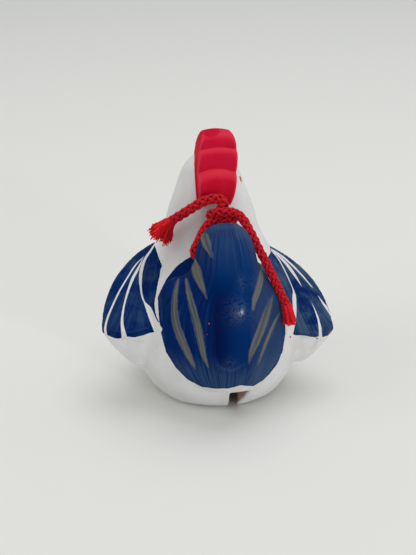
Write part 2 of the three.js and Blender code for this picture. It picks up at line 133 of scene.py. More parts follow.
def through(rows: np.ndarray, t: np.ndarray) -> np.ndarray:
    """Uniform Catmull-Rom through rows of numbers.

    Args:
        rows: one row per knot.
        t: places from 0 to 1 along the rows.

    Returns:
        One interpolated row per place.
    """
    last = len(rows) - 1
    span = np.minimum((t * last).astype(int), last - 1)
    u = (t * last - span)[:, None]
    a, b, c, d = (rows[np.clip(span + k, 0, last)] for k in (-1, 0, 1, 2))
    return b + 0.5 * u * (c - a + u * (2 * a - 5 * b + 4 * c - d + u * (3 * (b - c) + d - a)))


def centripetal(points: np.ndarray, count: int, closed: bool) -> np.ndarray:
    """Centripetal Catmull-Rom curve.

    Args:
        points: knots, one per row.
        count: number of samples.
        closed: whether the curve returns to its first knot.

    Returns:
        Samples at even steps of the knot parameter.
    """
    number = len(points)
    if closed:
        padded = np.vstack([points[-1:], points, points[:2]])
        place = np.arange(count) / count * number
    else:
        padded = np.vstack([2 * points[:1] - points[1:2], points, 2 * points[-1:] - points[-2:-1]])
        place = np.arange(count) / (count - 1) * (number - 1)
        number -= 1
    span = np.minimum(place.astype(int), number - 1)
    u = (place - span)[:, None]
    p = [padded[span + k] for k in range(4)]
    steps = [np.maximum(np.linalg.norm(p[k + 1] - p[k], axis=1), 1e-6)[:, None] ** 0.5 for k in range(3)]
    slopes = [(p[k + 1] - p[k]) / steps[k] for k in range(3)]
    m1 = (slopes[0] - (p[2] - p[0]) / (steps[0] + steps[1]) + slopes[1]) * steps[1]
    m2 = (slopes[1] - (p[3] - p[1]) / (steps[1] + steps[2]) + slopes[2]) * steps[1]
    return (
        (2 * u**3 - 3 * u**2 + 1) * p[1]
        + (u**3 - 2 * u**2 + u) * m1
        + (-2 * u**3 + 3 * u**2) * p[2]
        + (u**3 - u**2) * m2
    )


def even_steps(points: np.ndarray, step: float) -> np.ndarray:
    """The same line with its points about one step apart."""
    lengths = np.concatenate([[0], np.cumsum(np.linalg.norm(np.diff(points, axis=0), axis=1))])
    places = np.linspace(0, lengths[-1], max(2, int(round(lengths[-1] / step)) + 1))
    return np.column_stack([np.interp(places, lengths, points[:, k]) for k in range(3)])


def graded(places: np.ndarray, rows: Route) -> np.ndarray:
    """Values at places, from rows of place and value."""
    return np.interp(places, *np.array(rows).T)


def full_turn(count: int) -> np.ndarray:
    """Angles at even steps of one turn."""
    return 2 * np.pi * np.arange(count) / count


def superellipse(angle: np.ndarray, power: Any) -> tuple[np.ndarray, np.ndarray]:
    """Unit superellipse at the given angles."""
    c, s = np.cos(angle), np.sin(angle)
    return np.sign(c) * np.abs(c) ** (2 / power), np.sign(s) * np.abs(s) ** (2 / power)


@dataclass
class Solid:
    """A closed mesh in millimetres: points and faces turned outwards."""

    points: np.ndarray
    faces: list[tuple[int, ...]]

    @classmethod
    def loft(cls, rings: np.ndarray) -> "Solid":
        """Skin over rings that run counter-clockwise seen from the last ring, with both ends closed."""
        steps, around = rings.shape[:2]
        index = np.arange(steps * around).reshape(steps, around)
        nxt = np.roll(index, -1, axis=1)
        quads = np.stack([index[:-1], nxt[:-1], nxt[1:], index[1:]], axis=-1).reshape(-1, 4)
        faces = [tuple(q) for q in quads.tolist()]
        faces.append(tuple(reversed(index[0].tolist())))
        faces.append(tuple(index[-1].tolist()))
        return cls(rings.reshape(-1, 3), faces)

    @classmethod
    def over(cls, x: np.ndarray, y: np.ndarray, z: np.ndarray) -> "Solid":
        """Loft over rings given as three arrays, one row per ring."""
        return cls.loft(np.stack(np.broadcast_arrays(x, y, z), axis=-1))

    @classmethod
    def prism(cls, outline: np.ndarray, low: float, high: float) -> "Solid":
        """Outline of length and height, swept sideways from low to high."""
        return cls.over(np.array([[low], [high]]), outline[:, 0], outline[:, 1])

    @classmethod
    def hull(cls, points: np.ndarray) -> "Solid":
        """Convex solid round some points."""
        work = bmesh.new()
        for point in points:
            work.verts.new(point)
        found = bmesh.ops.convex_hull(work, input=work.verts)
        bmesh.ops.delete(work, geom=found["geom_interior"] + found["geom_unused"], context="VERTS")
        bmesh.ops.recalc_face_normals(work, faces=work.faces)
        mesh = bpy.data.meshes.new("hull")
        work.to_mesh(mesh)
        work.free()
        made = cls.of_mesh(mesh)
        bpy.data.meshes.remove(mesh)
        return made

    @classmethod
    def of_mesh(cls, mesh: bpy.types.Mesh) -> "Solid":
        """Points and faces of a Blender mesh."""
        points = np.empty(3 * len(mesh.vertices))
        mesh.vertices.foreach_get("co", points)
        return cls(points.reshape(-1, 3), [tuple(p.vertices) for p in mesh.polygons])

    def mesh(self, name: str, scale: float = 1.0) -> bpy.types.Mesh:
        """Blender mesh of this solid."""
        made = bpy.data.meshes.new(name)
        made.from_pydata((self.points * scale).tolist(), [], self.faces)
        made.update()
        return made

    def tree(self) -> BVHTree:
        """Search tree over the faces."""
        return BVHTree.FromPolygons(self.points.tolist(), self.faces)

    def joined(self, others: Iterable["Solid"]) -> "Solid":
        """This solid and others as one list of faces."""
        points, faces = [self.points], list(self.faces)
        start = len(self.points)
        for other in others:
            points.append(other.points)
            faces.extend(tuple(i + start for i in f) for f in other.faces)
            start += len(other.points)
        return Solid(np.vstack(points), faces)

    def changed(self, kind: str, **settings: Any) -> "Solid":
        """Result of one modifier.

        Args:
            kind: modifier type.
            **settings: its properties.

        Returns:
            The evaluated solid.
        """
        made = linked("work", self.mesh("work"))
        modifier = made.modifiers.new("work", kind)
        for key, value in settings.items():
            setattr(modifier, key, value)
        graph = bpy.context.evaluated_depsgraph_get()
        result = bpy.data.meshes.new_from_object(made.evaluated_get(graph))
        solid = Solid.of_mesh(result)
        source = made.data
        bpy.data.objects.remove(made)
        bpy.data.meshes.remove(source)
        bpy.data.meshes.remove(result)
        return solid

    def combined(self, other: "Solid", operation: str) -> "Solid":
        """Boolean with another solid: DIFFERENCE or INTERSECT."""
        tool = linked("tool", other.mesh("tool"))
        tool.hide_render = True
        result = self.changed("BOOLEAN", operation=operation, solver="MANIFOLD", object=tool)
        shape = tool.data
        bpy.data.objects.remove(tool)
        bpy.data.meshes.remove(shape)
        return result

    def edges(self) -> np.ndarray:
        """Vertex pairs of all edges, each once."""
        sizes = np.array([len(f) for f in self.faces])
        flat = np.fromiter((i for f in self.faces for i in f), dtype=np.int64, count=int(sizes.sum()))
        ends = np.cumsum(sizes)
        following = np.roll(flat, -1)
        following[ends - 1] = flat[np.concatenate([[0], ends[:-1]])]
        pairs = np.sort(np.column_stack([flat, following]), axis=1)
        return np.unique(pairs, axis=0)

    def relax(self, weight: np.ndarray, rounds: int, edges: np.ndarray) -> None:
        """Smooths the points without shrinking the shape.

        Args:
            weight: strength per point, from 0 to 1.
            rounds: number of passes inwards and back out.
            edges: vertex pairs.
        """
        inward, outward = 0.5, -0.52
        for _ in range(rounds):
            for share in (inward, outward):
                self.points += share * weight[:, None] * self._pull(edges)

    def fill_hollows(self, weight: np.ndarray, rounds: int, edges: np.ndarray) -> None:
        """Rounds out concave corners and leaves ridges as they are.

        Args:
            weight: strength per point, from 0 to 1.
            rounds: number of passes.
            edges: vertex pairs.
        """
        share, least, renewed = 0.6, 0.004, 6
        normals = self.normals()
        for step in range(1, rounds + 1):
            if step % renewed == 0:
                normals = self.normals()
            outward = np.maximum(0.0, np.sum(self._pull(edges) * normals, axis=1) - least)
            self.points += (share * weight * outward)[:, None] * normals

    def worked(self, amount: float = 0.13) -> "Solid":
        """The same solid with the slight unevenness of hand-worked clay."""
        x, y, z = (0.1 * self.points).T
        swell = np.sin(4.1 * x + 2.3 * z + 0.7) * np.cos(3.3 * y - 1.1)
        dents = np.sin(5.3 * z - 2.9 * y + 1.9 * x + 0.3)
        return Solid(self.points + (0.5 * amount * (swell + dents))[:, None] * self.normals(), self.faces)

    def _pull(self, edges: np.ndarray) -> np.ndarray:
        """Way from each point to the middle of its neighbours."""
        number = len(self.points)
        degree = np.maximum(np.bincount(edges.ravel(), minlength=number), 1)[:, None]
        total = np.empty_like(self.points)
        for k in range(3):
            ahead = np.bincount(edges[:, 0], self.points[edges[:, 1], k], number)
            total[:, k] = ahead + np.bincount(edges[:, 1], self.points[edges[:, 0], k], number)
        return total / degree - self.points

    def convexity(self, normals: np.ndarray) -> np.ndarray:
        """How sharply the face bends outward at each point, per millimetre."""
        edges = self.edges()
        length = np.sum((self.points[edges[:, 0]] - self.points[edges[:, 1]]) ** 2, axis=1)
        total = np.bincount(edges.ravel(), np.repeat(length, 2), len(self.points))
        count = np.maximum(np.bincount(edges.ravel(), minlength=len(self.points)), 1)
        return -4 * np.sum(self._pull(edges) * normals, axis=1) / np.maximum(total / count, 1e-4)

    def normals(self) -> np.ndarray:
        """Unit vertex normals."""
        made = self.mesh("work")
        result = np.empty(3 * len(made.vertices), dtype=np.float32)
        made.vertex_normals.foreach_get("vector", result)
        bpy.data.meshes.remove(made)
        return result.reshape(-1, 3).astype(float)


# Camera and studio


@dataclass(frozen=True)
class PhotoCamera:
    """The photograph's viewpoint: a pinhole whose target lies a little off the middle of the frame."""

    focal: float = 1370.0
    distance: float = 405.0
    elevation: float = 24.0
    azimuth: float = -8.0
    target: tuple[float, float, float] = (0.0, 0.0, 34.0)
    target_pixel: tuple[float, float] = (216.0, 275.0)
    frame_size: tuple[int, int] = (416, 555)
    sensor: float = 36.0
    clip: tuple[float, float] = (0.01, 50.0)

    def axes(self) -> tuple[np.ndarray, np.ndarray, np.ndarray]:
        """Right, up and back directions."""
        a, e = math.radians(self.azimuth), math.radians(self.elevation)
        back = np.array([math.sin(a) * math.cos(e), -math.cos(a) * math.cos(e), math.sin(e)])
        right = np.array([math.cos(a), math.sin(a), 0.0])
        return right, np.cross(back, right), back

    def place(self) -> np.ndarray:
        """Where the camera stands, in millimetres."""
        return np.array(self.target) + self.distance * self.axes()[2]

    def on_frame(self, points: np.ndarray) -> np.ndarray:
        """Pixel places of points, in the photograph's frame.

        Args:
            points: points in millimetres, one per row.

        Returns:
            Column and line per point.
        """
        right, up, back = self.axes()
        ray = points - self.place()
        depth = -(ray @ back)
        column = self.target_pixel[0] + self.focal * (ray @ right) / depth
        line = self.target_pixel[1] - self.focal * (ray @ up) / depth
        return np.column_stack([column, line])

    def pixels_per_mm(self) -> float:
        """Pixels that one millimetre takes at the target."""
        return self.focal / self.distance

    def build(self) -> bpy.types.Object:
        """Makes the scene's camera."""
        data = bpy.data.cameras.new("photo_camera")
        long_side = max(self.frame_size)
        data.sensor_fit = "AUTO"
        data.sensor_width = self.sensor
        data.lens = self.focal * self.sensor / long_side
        data.shift_x = -(self.target_pixel[0] - 0.5 * self.frame_size[0]) / long_side
        data.shift_y = (self.target_pixel[1] - 0.5 * self.frame_size[1]) / long_side
        data.clip_start, data.clip_end = self.clip
        made = linked("photo_camera", data)
        made.rotation_mode = "QUATERNION"
        made.location = Vector(self.place() * MM)
        made.rotation_quaternion = Vector(-self.axes()[2]).to_track_quat("-Z", "Y")
        bpy.context.scene.camera = made
        LOG.info("camera: lens %.1f mm at %.0f mm", data.lens, self.distance)
        return made


@dataclass(frozen=True)
class SoftBox:
    """One large area light."""

    name: str
    place: tuple[float, float, float]
    aim: tuple[float, float, float]
    size: float
    power: float
    colour: tuple[float, float, float] = (1.0, 1.0, 1.0)

    def build(self) -> bpy.types.Object:
        """Makes the light."""
        data = bpy.data.lights.new(self.name, "AREA")
        data.shape = "DISK"
        data.size = self.size
        data.energy = self.power
        data.color = self.colour
        made = linked(self.name, data)
        made.location = self.place
        made.rotation_mode = "QUATERNION"
        made.rotation_quaternion = (Vector(self.aim) - Vector(self.place)).to_track_quat("-Z", "Y")
        return made


@dataclass(frozen=True)
class Studio:
    """Plain pale floor under soft light."""

    floor_half: float = 3.0
    floor_colour: Colour = srgb(231, 231, 226)
    floor_roughness: float = 0.95
    floor_specular: float = 0.1
    sky_colour: Colour = (0.93, 0.95, 0.97, 1.0)
    sky_strength: float = 0.53
    sky_share: tuple[float, float] = (0.5, 1.25)
    boxes: tuple[SoftBox, ...] = (
        SoftBox("top_box", (0.14, 0.14, 0.72), (0.0, 0.0, 0.03), 0.60, 2.0),
        SoftBox("window_box", (0.27, -0.53, 0.115), (0.0, -0.03, 0.035), 0.045, 0.75),
        SoftBox("right_box", (0.62, 0.05, 0.36), (0.0, 0.0, 0.03), 0.40, 0.2),
        SoftBox("left_box", (-0.55, -0.10, 0.40), (0.0, 0.0, 0.03), 0.50, 0.75, (1.0, 0.97, 0.92)),
    )

    def build(self) -> None:
        """Makes floor, lights and sky."""
        half = self.floor_half
        mesh = bpy.data.meshes.new("floor")
        corners = [(-half, -half, 0), (half, -half, 0), (half, half, 0), (-half, half, 0)]
        mesh.from_pydata(corners, [], [(0, 1, 2, 3)])
        mesh.materials.append(self._floor_paper())
        linked("floor", mesh)
        for box in self.boxes:
            box.build()
        world = bpy.data.worlds.new("studio")
        world.use_nodes = True
        sky = world.node_tree.nodes["Background"]
        sky.inputs["Color"].default_value = self.sky_colour
        graph = NodeGraph(world.node_tree)
        height = graph.split(graph.node("ShaderNodeTexCoord").outputs["Generated"]).outputs["Z"]
        rise = graph.math("MAXIMUM", height, 0.0)
        low, high = (share * self.sky_strength for share in self.sky_share)
        graph.put(sky.inputs["Strength"], graph.between(rise, low, high))
        bpy.context.scene.world = world
        bpy.context.scene.view_settings.view_transform = "Standard"

    def _floor_paper(self) -> bpy.types.Material:
        """Matte paper."""
        made, _, shader = NodeGraph.material("floor_paper")
        shader["Base Color"].default_value = self.floor_colour
        shader["Roughness"].default_value = self.floor_roughness
        shader["Specular IOR Level"].default_value = self.floor_specular
        return made


# Node helpers


class NodeGraph:
    """Small builder over a node tree."""

    def __init__(self, tree: bpy.types.NodeTree) -> None:
        """Keeps the tree that nodes go into."""
        self.tree = tree

    @classmethod
    def material(cls, name: str) -> tuple[bpy.types.Material, "NodeGraph", Any]:
        """A new material, its graph and the inputs of its shader."""
        made = bpy.data.materials.new(name)
        made.use_nodes = True
        return made, cls(made.node_tree), made.node_tree.nodes["Principled BSDF"].inputs

    def node(self, kind: str, sockets: dict[Any, Any] | None = None, **properties: Any) -> bpy.types.Node:
        """Adds a node.

        Args:
            kind: node type.
            sockets: values or links for its inputs, by name or number.
            **properties: node properties.

        Returns:
            The new node.
        """
        made = self.tree.nodes.new(kind)
        for key, value in properties.items():
            setattr(made, key, value)
        for key, value in (sockets or {}).items():
            self.put(made.inputs[key], value)
        return made

    def sockets(self, side: str, kind: str, names: Iterable[str]) -> None:
        """Adds sockets to the face of a group, on its INPUT or OUTPUT side."""
        for name in names:
            self.tree.interface.new_socket(name, in_out=side, socket_type=f"NodeSocket{kind}")

    def put(self, socket: bpy.types.NodeSocket, value: Any) -> None:
        """Links or sets one input."""
        if isinstance(value, bpy.types.NodeSocket):
            self.tree.links.new(value, socket)
        else:
            socket.default_value = value

    def math(self, operation: str, a: Any, b: Any = 0.0, clamp: bool = False) -> bpy.types.NodeSocket:
        """Scalar arithmetic."""
        return self.node("ShaderNodeMath", {0: a, 1: b}, operation=operation, use_clamp=clamp).outputs[0]

    def times(self, a: Any, b: Any) -> bpy.types.NodeSocket:
        """Product."""
        return self.math("MULTIPLY", a, b)

    def plus(self, a: Any, b: Any, clamp: bool = False) -> bpy.types.NodeSocket:
        """Sum."""
        return self.math("ADD", a, b, clamp)

    def minus(self, a: Any, b: Any) -> bpy.types.NodeSocket:
        """Difference."""
        return self.math("SUBTRACT", a, b)

    def vector(self, operation: str, a: Any, b: Any = (0.0, 0.0, 0.0)) -> bpy.types.NodeSocket:
        """Vector arithmetic."""
        return self.node("ShaderNodeVectorMath", {0: a, 1: b}, operation=operation).outputs["Vector"]

    def scaled(self, a: Any, factor: Any) -> bpy.types.NodeSocket:
        """Vector times number."""
        made = self.node("ShaderNodeVectorMath", {0: a, "Scale": factor}, operation="SCALE")
        return made.outputs["Vector"]

    def split(self, a: bpy.types.NodeSocket) -> bpy.types.Node:
        """Parts of a vector."""
        return self.node("ShaderNodeSeparateXYZ", {0: a})

    def blend(self, factor: Any, a: Any, b: Any) -> bpy.types.NodeSocket:
        """Colour mix."""
        return self.node("ShaderNodeMix", {"Factor": factor, 6: a, 7: b}, data_type="RGBA").outputs[2]

    def between(self, factor: Any, a: Any, b: Any) -> bpy.types.NodeSocket:
        """Number mix."""
        return self.node("ShaderNodeMix", {"Factor": factor, 2: a, 3: b}, data_type="FLOAT").outputs[0]

    def ramp(self, value: Any, low: Any, high: Any, smooth: bool = True) -> bpy.types.NodeSocket:
        """Value taken from low..high to 0..1, clamped."""
        made = self.node("ShaderNodeMapRange", {"Value": value, "From Min": low, "From Max": high})
        made.interpolation_type = "SMOOTHSTEP" if smooth else "LINEAR"
        return made.outputs["Result"]

    def noise(self, vector: Any, scale: float, detail: float, roughness: float) -> bpy.types.NodeSocket:
        """Fractal noise from 0 to 1."""
        sockets = {"Vector": vector, "Scale": scale, "Detail": detail, "Roughness": roughness}
        return self.node("ShaderNodeTexNoise", sockets).outputs[0]

    def place(self) -> bpy.types.NodeSocket:
        """Place on the object, in millimetres."""
        return self.scaled(self.node("ShaderNodeTexCoord").outputs["Object"], 1 / MM)

    def cover(self, shader: Any, colour: Any, rough: Any, relief: Any, strength: float,
              depth: float) -> None:
        """Sets what all finishes share.

        Args:
            shader: inputs of the shader.
            colour: base colour.
            rough: roughness.
            relief: height of the bump.
            strength: strength of the bump.
            depth: metres that one unit of relief stands for.
        """
        bump = self.node("ShaderNodeBump", {"Strength": strength, "Distance": depth, "Height": relief})
        self.put(shader["Base Color"], colour)
        self.put(shader["Roughness"], rough)
        self.put(shader["Normal"], bump.outputs["Normal"])

    def attribute(self, name: str) -> bpy.types.Node:
        """Reads a mesh attribute."""
        return self.node("ShaderNodeAttribute", attribute_name=name)


class EffectGroup:
    """Base of the shared shader effects: a node group that gives masks and values."""

    name = "Effect"
    vectors: tuple[str, ...] = ()
    numbers: tuple[str, ...] = ()
    results: tuple[str, ...] = ()

    @classmethod
    def tree(cls) -> bpy.types.NodeTree:
        """The group, made on first use."""
        found = bpy.data.node_groups.get(cls.name)
        if found:
            return found
        made = bpy.data.node_groups.new(cls.name, "ShaderNodeTree")
        graph = NodeGraph(made)
        graph.sockets("INPUT", "Vector", cls.vectors)
        graph.sockets("INPUT", "Float", cls.numbers)
        graph.sockets("OUTPUT", "Float", cls.results)
        cls.fill(graph, made.nodes.new("NodeGroupInput").outputs, made.nodes.new("NodeGroupOutput").inputs)
        return made

    @classmethod
    def fill(cls, graph: NodeGraph, given: Any, result: Any) -> None:
        """Builds the inside of the group."""
        raise NotImplementedError

    @classmethod
    def use(cls, graph: NodeGraph, **sockets: Any) -> bpy.types.bpy_prop_collection:
        """Puts the group into a graph and gives its outputs."""
        return graph.node("ShaderNodeGroup", sockets, node_tree=cls.tree()).outputs


class ClayGrain(EffectGroup):
    """Clouding, fine grain and small pits of hand-worked clay under paint."""

    name = "ClayGrain"
    vectors = ("Place",)
    results = ("Cloud", "Grain", "Pits")

    @classmethod
    def fill(cls, graph: NodeGraph, given: Any, result: Any) -> None:
        """Noise at three sizes, the place in millimetres."""
        place = given["Place"]
        graph.put(result["Cloud"], graph.noise(place, 0.16, 4.0, 0.55))
        fine = graph.noise(place, 2.4, 3.0, 0.6)
        graph.put(result["Grain"], fine)
        spots = graph.noise(graph.vector("ADD", place, (31.0, 7.0, 13.0)), 0.9, 2.0, 0.5)
        graph.put(result["Pits"], graph.ramp(spots, 0.66, 0.74))


class PaintEdge(EffectGroup):
    """Mask of one paint layer, its edge unsteady as a brush leaves it."""

    name = "PaintEdge"
    vectors = ("Place",)
    numbers = ("Distance", "Wobble", "Softness")
    results = ("Mask",)

    @classmethod
    def fill(cls, graph: NodeGraph, given: Any, result: Any) -> None:
        """Distance plus noise, taken through a narrow ramp."""
        wave = graph.minus(graph.noise(given["Place"], 0.75, 3.0, 0.6), 0.5)
        moved = graph.plus(given["Distance"], graph.times(wave, given["Wobble"]))
        low = graph.times(given["Softness"], -1.0)
        graph.put(result["Mask"], graph.ramp(moved, low, given["Softness"]))


class BrushStreaks(EffectGroup):
    """Streaks that a loaded brush leaves along its stroke."""

    name = "BrushStreaks"
    vectors = ("Flow",)
    results = ("Broad", "Fine")

    @classmethod
    def fill(cls, graph: NodeGraph, given: Any, result: Any) -> None:
        """Noise drawn out along the second part of the flow."""
        broad = graph.vector("MULTIPLY", given["Flow"], (0.42, 0.022, 0.3))
        fine = graph.vector("MULTIPLY", given["Flow"], (1.9, 0.05, 0.3))
        graph.put(result["Broad"], graph.noise(broad, 1.0, 3.0, 0.6))
        graph.put(result["Fine"], graph.noise(fine, 1.0, 3.0, 0.65))


# Finishes


@dataclass(frozen=True)
class Paint:
    """One paint: two tones that it wanders between, its roughness and the gloss of its surface."""

    layer: Layer
    tone: Colour
    other: Colour
    roughness: float
    coat: float = 0.0
    wobble: float = 0.25
    softness: float = 0.07
    strength: float = 1.0


@dataclass(frozen=True)
class PaintedClay:
    """Chalk-white ground on clay with brushed paints over it."""

    white: Colour = srgb(226, 226, 226)
    white_shade: Colour = srgb(219, 219, 218)
    navy_tongue: Colour = srgb(0, 46, 104)
    navy_painted_shade: Colour = srgb(0, 18, 72)
    navy_light: Colour = srgb(46, 76, 120)
    navy_chalk_and_lit: Colour = srgb(66, 92, 118)
    navy_scuffed_and_lit: Colour = srgb(82, 104, 130)
    indigo: Colour = srgb(18, 44, 112)
    red_scuffed_and_lit: Colour = srgb(234, 74, 90)
    red_crease_shade: Colour = srgb(160, 0, 30)
    navy_rim: Colour = srgb(0, 20, 62)
    line_white: Colour = srgb(224, 224, 222)
    pit: Colour = srgb(178, 168, 156)
    white_roughness: float = 0.72
    line_roughness: float = 0.7
    polished_roughness: float = 0.2
    coat_roughness: float = 0.28
    specular: float = 0.02
    raised: float = 0.3
    sunk: float = -0.5
    line_wobble: float = 0.16
    line_softness: float = 0.06
    bump: float = 0.55
    bump_depth: float = 0.12 * MM
    paints: tuple[Paint, ...] = (
        Paint(Layer.BLUE, srgb(0, 28, 84), srgb(0, 40, 98), 0.55, 0.0, 0.3, 0.06),
        Paint(Layer.OLIVE, srgb(116, 114, 100), srgb(78, 88, 98), 0.6, 0.0, 0.6, 0.34, 0.92),
        Paint(Layer.RED, srgb(196, 16, 44), srgb(204, 24, 56), 0.65, 0.0, 0.2, 0.08),
        Paint(Layer.OCHRE, srgb(201, 146, 47), srgb(178, 122, 36), 0.55, 0.05, 0.2, 0.08),
        Paint(Layer.BLACK, srgb(24, 22, 26), srgb(34, 30, 34), 0.4, 0.2, 0.15, 0.06),
        Paint(Layer.BARE, srgb(176, 150, 134), srgb(138, 116, 102), 0.9, 0.0, 0.6, 0.45),
        Paint(Layer.CHIP, srgb(206, 92, 58), srgb(184, 70, 40), 0.8, 0.0, 0.2, 0.05),
    )

    def build(self) -> bpy.types.Material:
        """Makes the material."""
        made, graph, shader = NodeGraph.material("painted_clay")
        place = graph.place()
        grain = ClayGrain.use(graph, Place=place)
        flow = graph.attribute(FLOW).outputs["Vector"]
        streaks = BrushStreaks.use(graph, Flow=flow)
        gloss, polish, bend = (graph.attribute(name).outputs["Fac"] for name in (GLOSS, POLISH, BEND_AND_TOP_LIGHT))
        # Convex edges and faces that look up, for the red: partly scuffing, partly painted top light.
        edge = graph.times(graph.ramp(bend, 0.3, 1.1), graph.between(grain["Grain"], 0.7, 1.0))

        colour = graph.blend(graph.ramp(grain["Cloud"], 0.35, 0.68), self.white, self.white_shade)
        colour = graph.blend(graph.times(grain["Pits"], 0.22), colour, self.pit)
        rough: Any = self.white_roughness
        coat: Any = 0.0
        relief = graph.times(grain["Grain"], 0.16)
        for paint in self.paints:
            distance = graph.attribute(paint.layer.value).outputs["Fac"]
            mask = PaintEdge.use(
                graph, Distance=distance, Place=place, Wobble=paint.wobble, Softness=paint.softness
            )["Mask"]
            smooth: Any = paint.roughness
            if paint.layer is Layer.BLUE:
                # Convex edges and faces that look up, for the navy: partly scuffing, partly painted top
                # light.
                scuffs_and_top_light = graph.ramp(bend, 0.5, 1.4)
                tone = self._blue(graph, paint, distance, place, flow, grain, streaks, gloss, scuffs_and_top_light)
                smooth = graph.between(polish, paint.roughness, self.polished_roughness)
            elif paint.layer is Layer.OLIVE:
                trail = graph.attribute(TRAIL).outputs["Vector"]
                bristle = BrushStreaks.use(graph, Flow=trail)["Fine"]
                tone = graph.blend(graph.ramp(bristle, 0.35, 0.6), paint.other, paint.tone)
                mask = graph.times(mask, graph.between(graph.ramp(bristle, 0.3, 0.5), 0.6, paint.strength))
            else:
                tone = graph.blend(graph.ramp(grain["Cloud"], 0.35, 0.65), paint.tone, paint.other)
            if paint.layer is Layer.RED:
                # Comb red lighter on convex edges and faces that look up: partly scuffing, partly painted
                # top light.
                tone = graph.blend(graph.times(edge, 0.5), tone, self.red_scuffed_and_lit)
                # Painted shade in the creases of the comb.
                tone = graph.blend(graph.ramp(bend, -0.15, -0.9), tone, self.red_crease_shade)
            colour = graph.blend(mask, colour, tone)
            rough = graph.between(mask, rough, smooth)
            coat = graph.between(mask, coat, paint.coat)
            lift = self.sunk if paint.layer in (Layer.BARE, Layer.CHIP) else self.raised
            relief = graph.plus(relief, graph.times(mask, lift))
            if paint.layer is Layer.OLIVE:
                colour, rough, coat = self._feather_lines(graph, place, colour, rough, coat)
        rough = graph.plus(rough, graph.times(graph.minus(grain["Grain"], 0.5), 0.1))
        relief = graph.plus(relief, graph.times(streaks["Fine"], 0.25))
        speckle = graph.noise(place, 1.4, 1.0, 0.4)
        relief = graph.plus(relief, graph.times(graph.times(speckle, polish), 1.8))
        coat = graph.math("MAXIMUM", coat, graph.times(polish, graph.ramp(speckle, 0.3, 0.56)))
        graph.cover(shader, colour, rough, relief, self.bump, self.bump_depth)
        graph.put(shader["Coat Weight"], coat)
        shader["Coat Roughness"].default_value = self.coat_roughness
        shader["Specular IOR Level"].default_value = self.specular
        return made

    def _blue(self, graph: NodeGraph, paint: Paint, distance: Any, place: Any, flow: Any, grain: Any,
              streaks: Any, gloss: Any, edge: Any) -> Any:
        """Navy: streaked, chalky on the wings; painted shade on the tongue's left; painted light on the
        tail's right, the right wing, the tongue's lower end and upward faces; lighter on scuffed edges.
        """
        parts, height = graph.split(flow).outputs, graph.split(place).outputs["Z"]
        wing = graph.ramp(graph.math("ABSOLUTE", parts["Z"]), 5.0, 15.0)
        tail = graph.minus(1.0, wing)
        fine, broad = streaks["Fine"], streaks["Broad"]
        strands = graph.ramp(fine, 0.3, 0.6)
        tone = graph.blend(graph.ramp(fine, 0.34, 0.62), paint.tone, paint.other)
        violet = graph.times(graph.ramp(broad, 0.5, 0.64), tail)
        tone = graph.blend(graph.times(violet, 0.3), tone, self.indigo)
        tone = graph.blend(graph.times(graph.ramp(fine, 0.56, 0.76), 0.4), tone, self.navy_light)
        chalk = graph.times(graph.ramp(grain["Cloud"], 0.34, 0.6), graph.ramp(fine, 0.26, 0.6))
        # Chalk stronger on the right wing than the left: partly chalky paint, partly painted light from the
        # right.
        chalk = graph.times(chalk, graph.between(graph.ramp(parts["Z"], -20.0, 20.0), 0.35, 0.95))
        tone = graph.blend(graph.times(chalk, wing), tone, self.navy_chalk_and_lit)
        # Right side of the tail lighter: painted light from the right.
        right = graph.times(graph.ramp(parts["X"], 3.0, 9.0), tail)
        tone = graph.blend(graph.times(right, 0.26), tone, self.navy_scuffed_and_lit)
        # Tongue: painted shade on its lower left, lighter to the right and towards the top.
        lit = graph.math("MAXIMUM", graph.ramp(parts["X"], -4.5, 4.0), graph.ramp(height, 36.0, 48.0))
        tone = graph.blend(gloss, tone, graph.blend(lit, self.navy_painted_shade, self.navy_tongue))
        # Painted light on a rim round the tongue's lower end.
        rim = graph.times(graph.ramp(gloss, 0.02, 0.3), graph.ramp(gloss, 0.75, 0.4))
        rim = graph.times(rim, graph.ramp(height, 23.0, 18.0))
        tone = graph.blend(graph.times(rim, graph.ramp(grain["Grain"], 0.3, 0.7)), tone, self.navy_light)
        # Greyer navy towards the bottom of the tail.
        low = graph.times(graph.ramp(height, 23.0, 15.0), graph.times(tail, strands))
        tone = graph.blend(graph.times(low, 0.5), tone, self.navy_chalk_and_lit)
        # Lighter, greyer navy towards the top of the tail, and on scuffed edges and faces that look up:
        # partly scuffing, partly painted top light.
        scuffs_and_top_light = graph.times(graph.ramp(height, 43.0, 57.0), graph.between(grain["Grain"], 0.45, 0.9))
        scuffs_and_top_light = graph.times(graph.times(scuffs_and_top_light, strands), 0.5)
        scuffs_and_top_light = graph.plus(scuffs_and_top_light, graph.times(edge, 0.12), clamp=True)
        tone = graph.blend(scuffs_and_top_light, tone, self.navy_scuffed_and_lit)
        return graph.blend(graph.times(graph.ramp(distance, 0.5, 0.05), 0.6), tone, self.navy_rim)

    def _feather_lines(self, graph: NodeGraph, place: Any, colour: Any, rough: Any,
                       coat: Any) -> tuple[Any, Any, Any]:
        """White feather lines over the navy of the wings."""
        for name in FEATHER_LINES:
            parts = graph.split(graph.attribute(name).outputs["Vector"]).outputs
            distance = graph.minus(parts["Y"], graph.math("ABSOLUTE", parts["X"]))
            mask = PaintEdge.use(
                graph, Distance=distance, Place=place, Wobble=self.line_wobble, Softness=self.line_softness
            )["Mask"]
            colour = graph.blend(mask, colour, self.line_white)
            rough = graph.between(mask, rough, self.line_roughness)
            coat = graph.between(mask, coat, 0.0)
        return colour, rough, coat


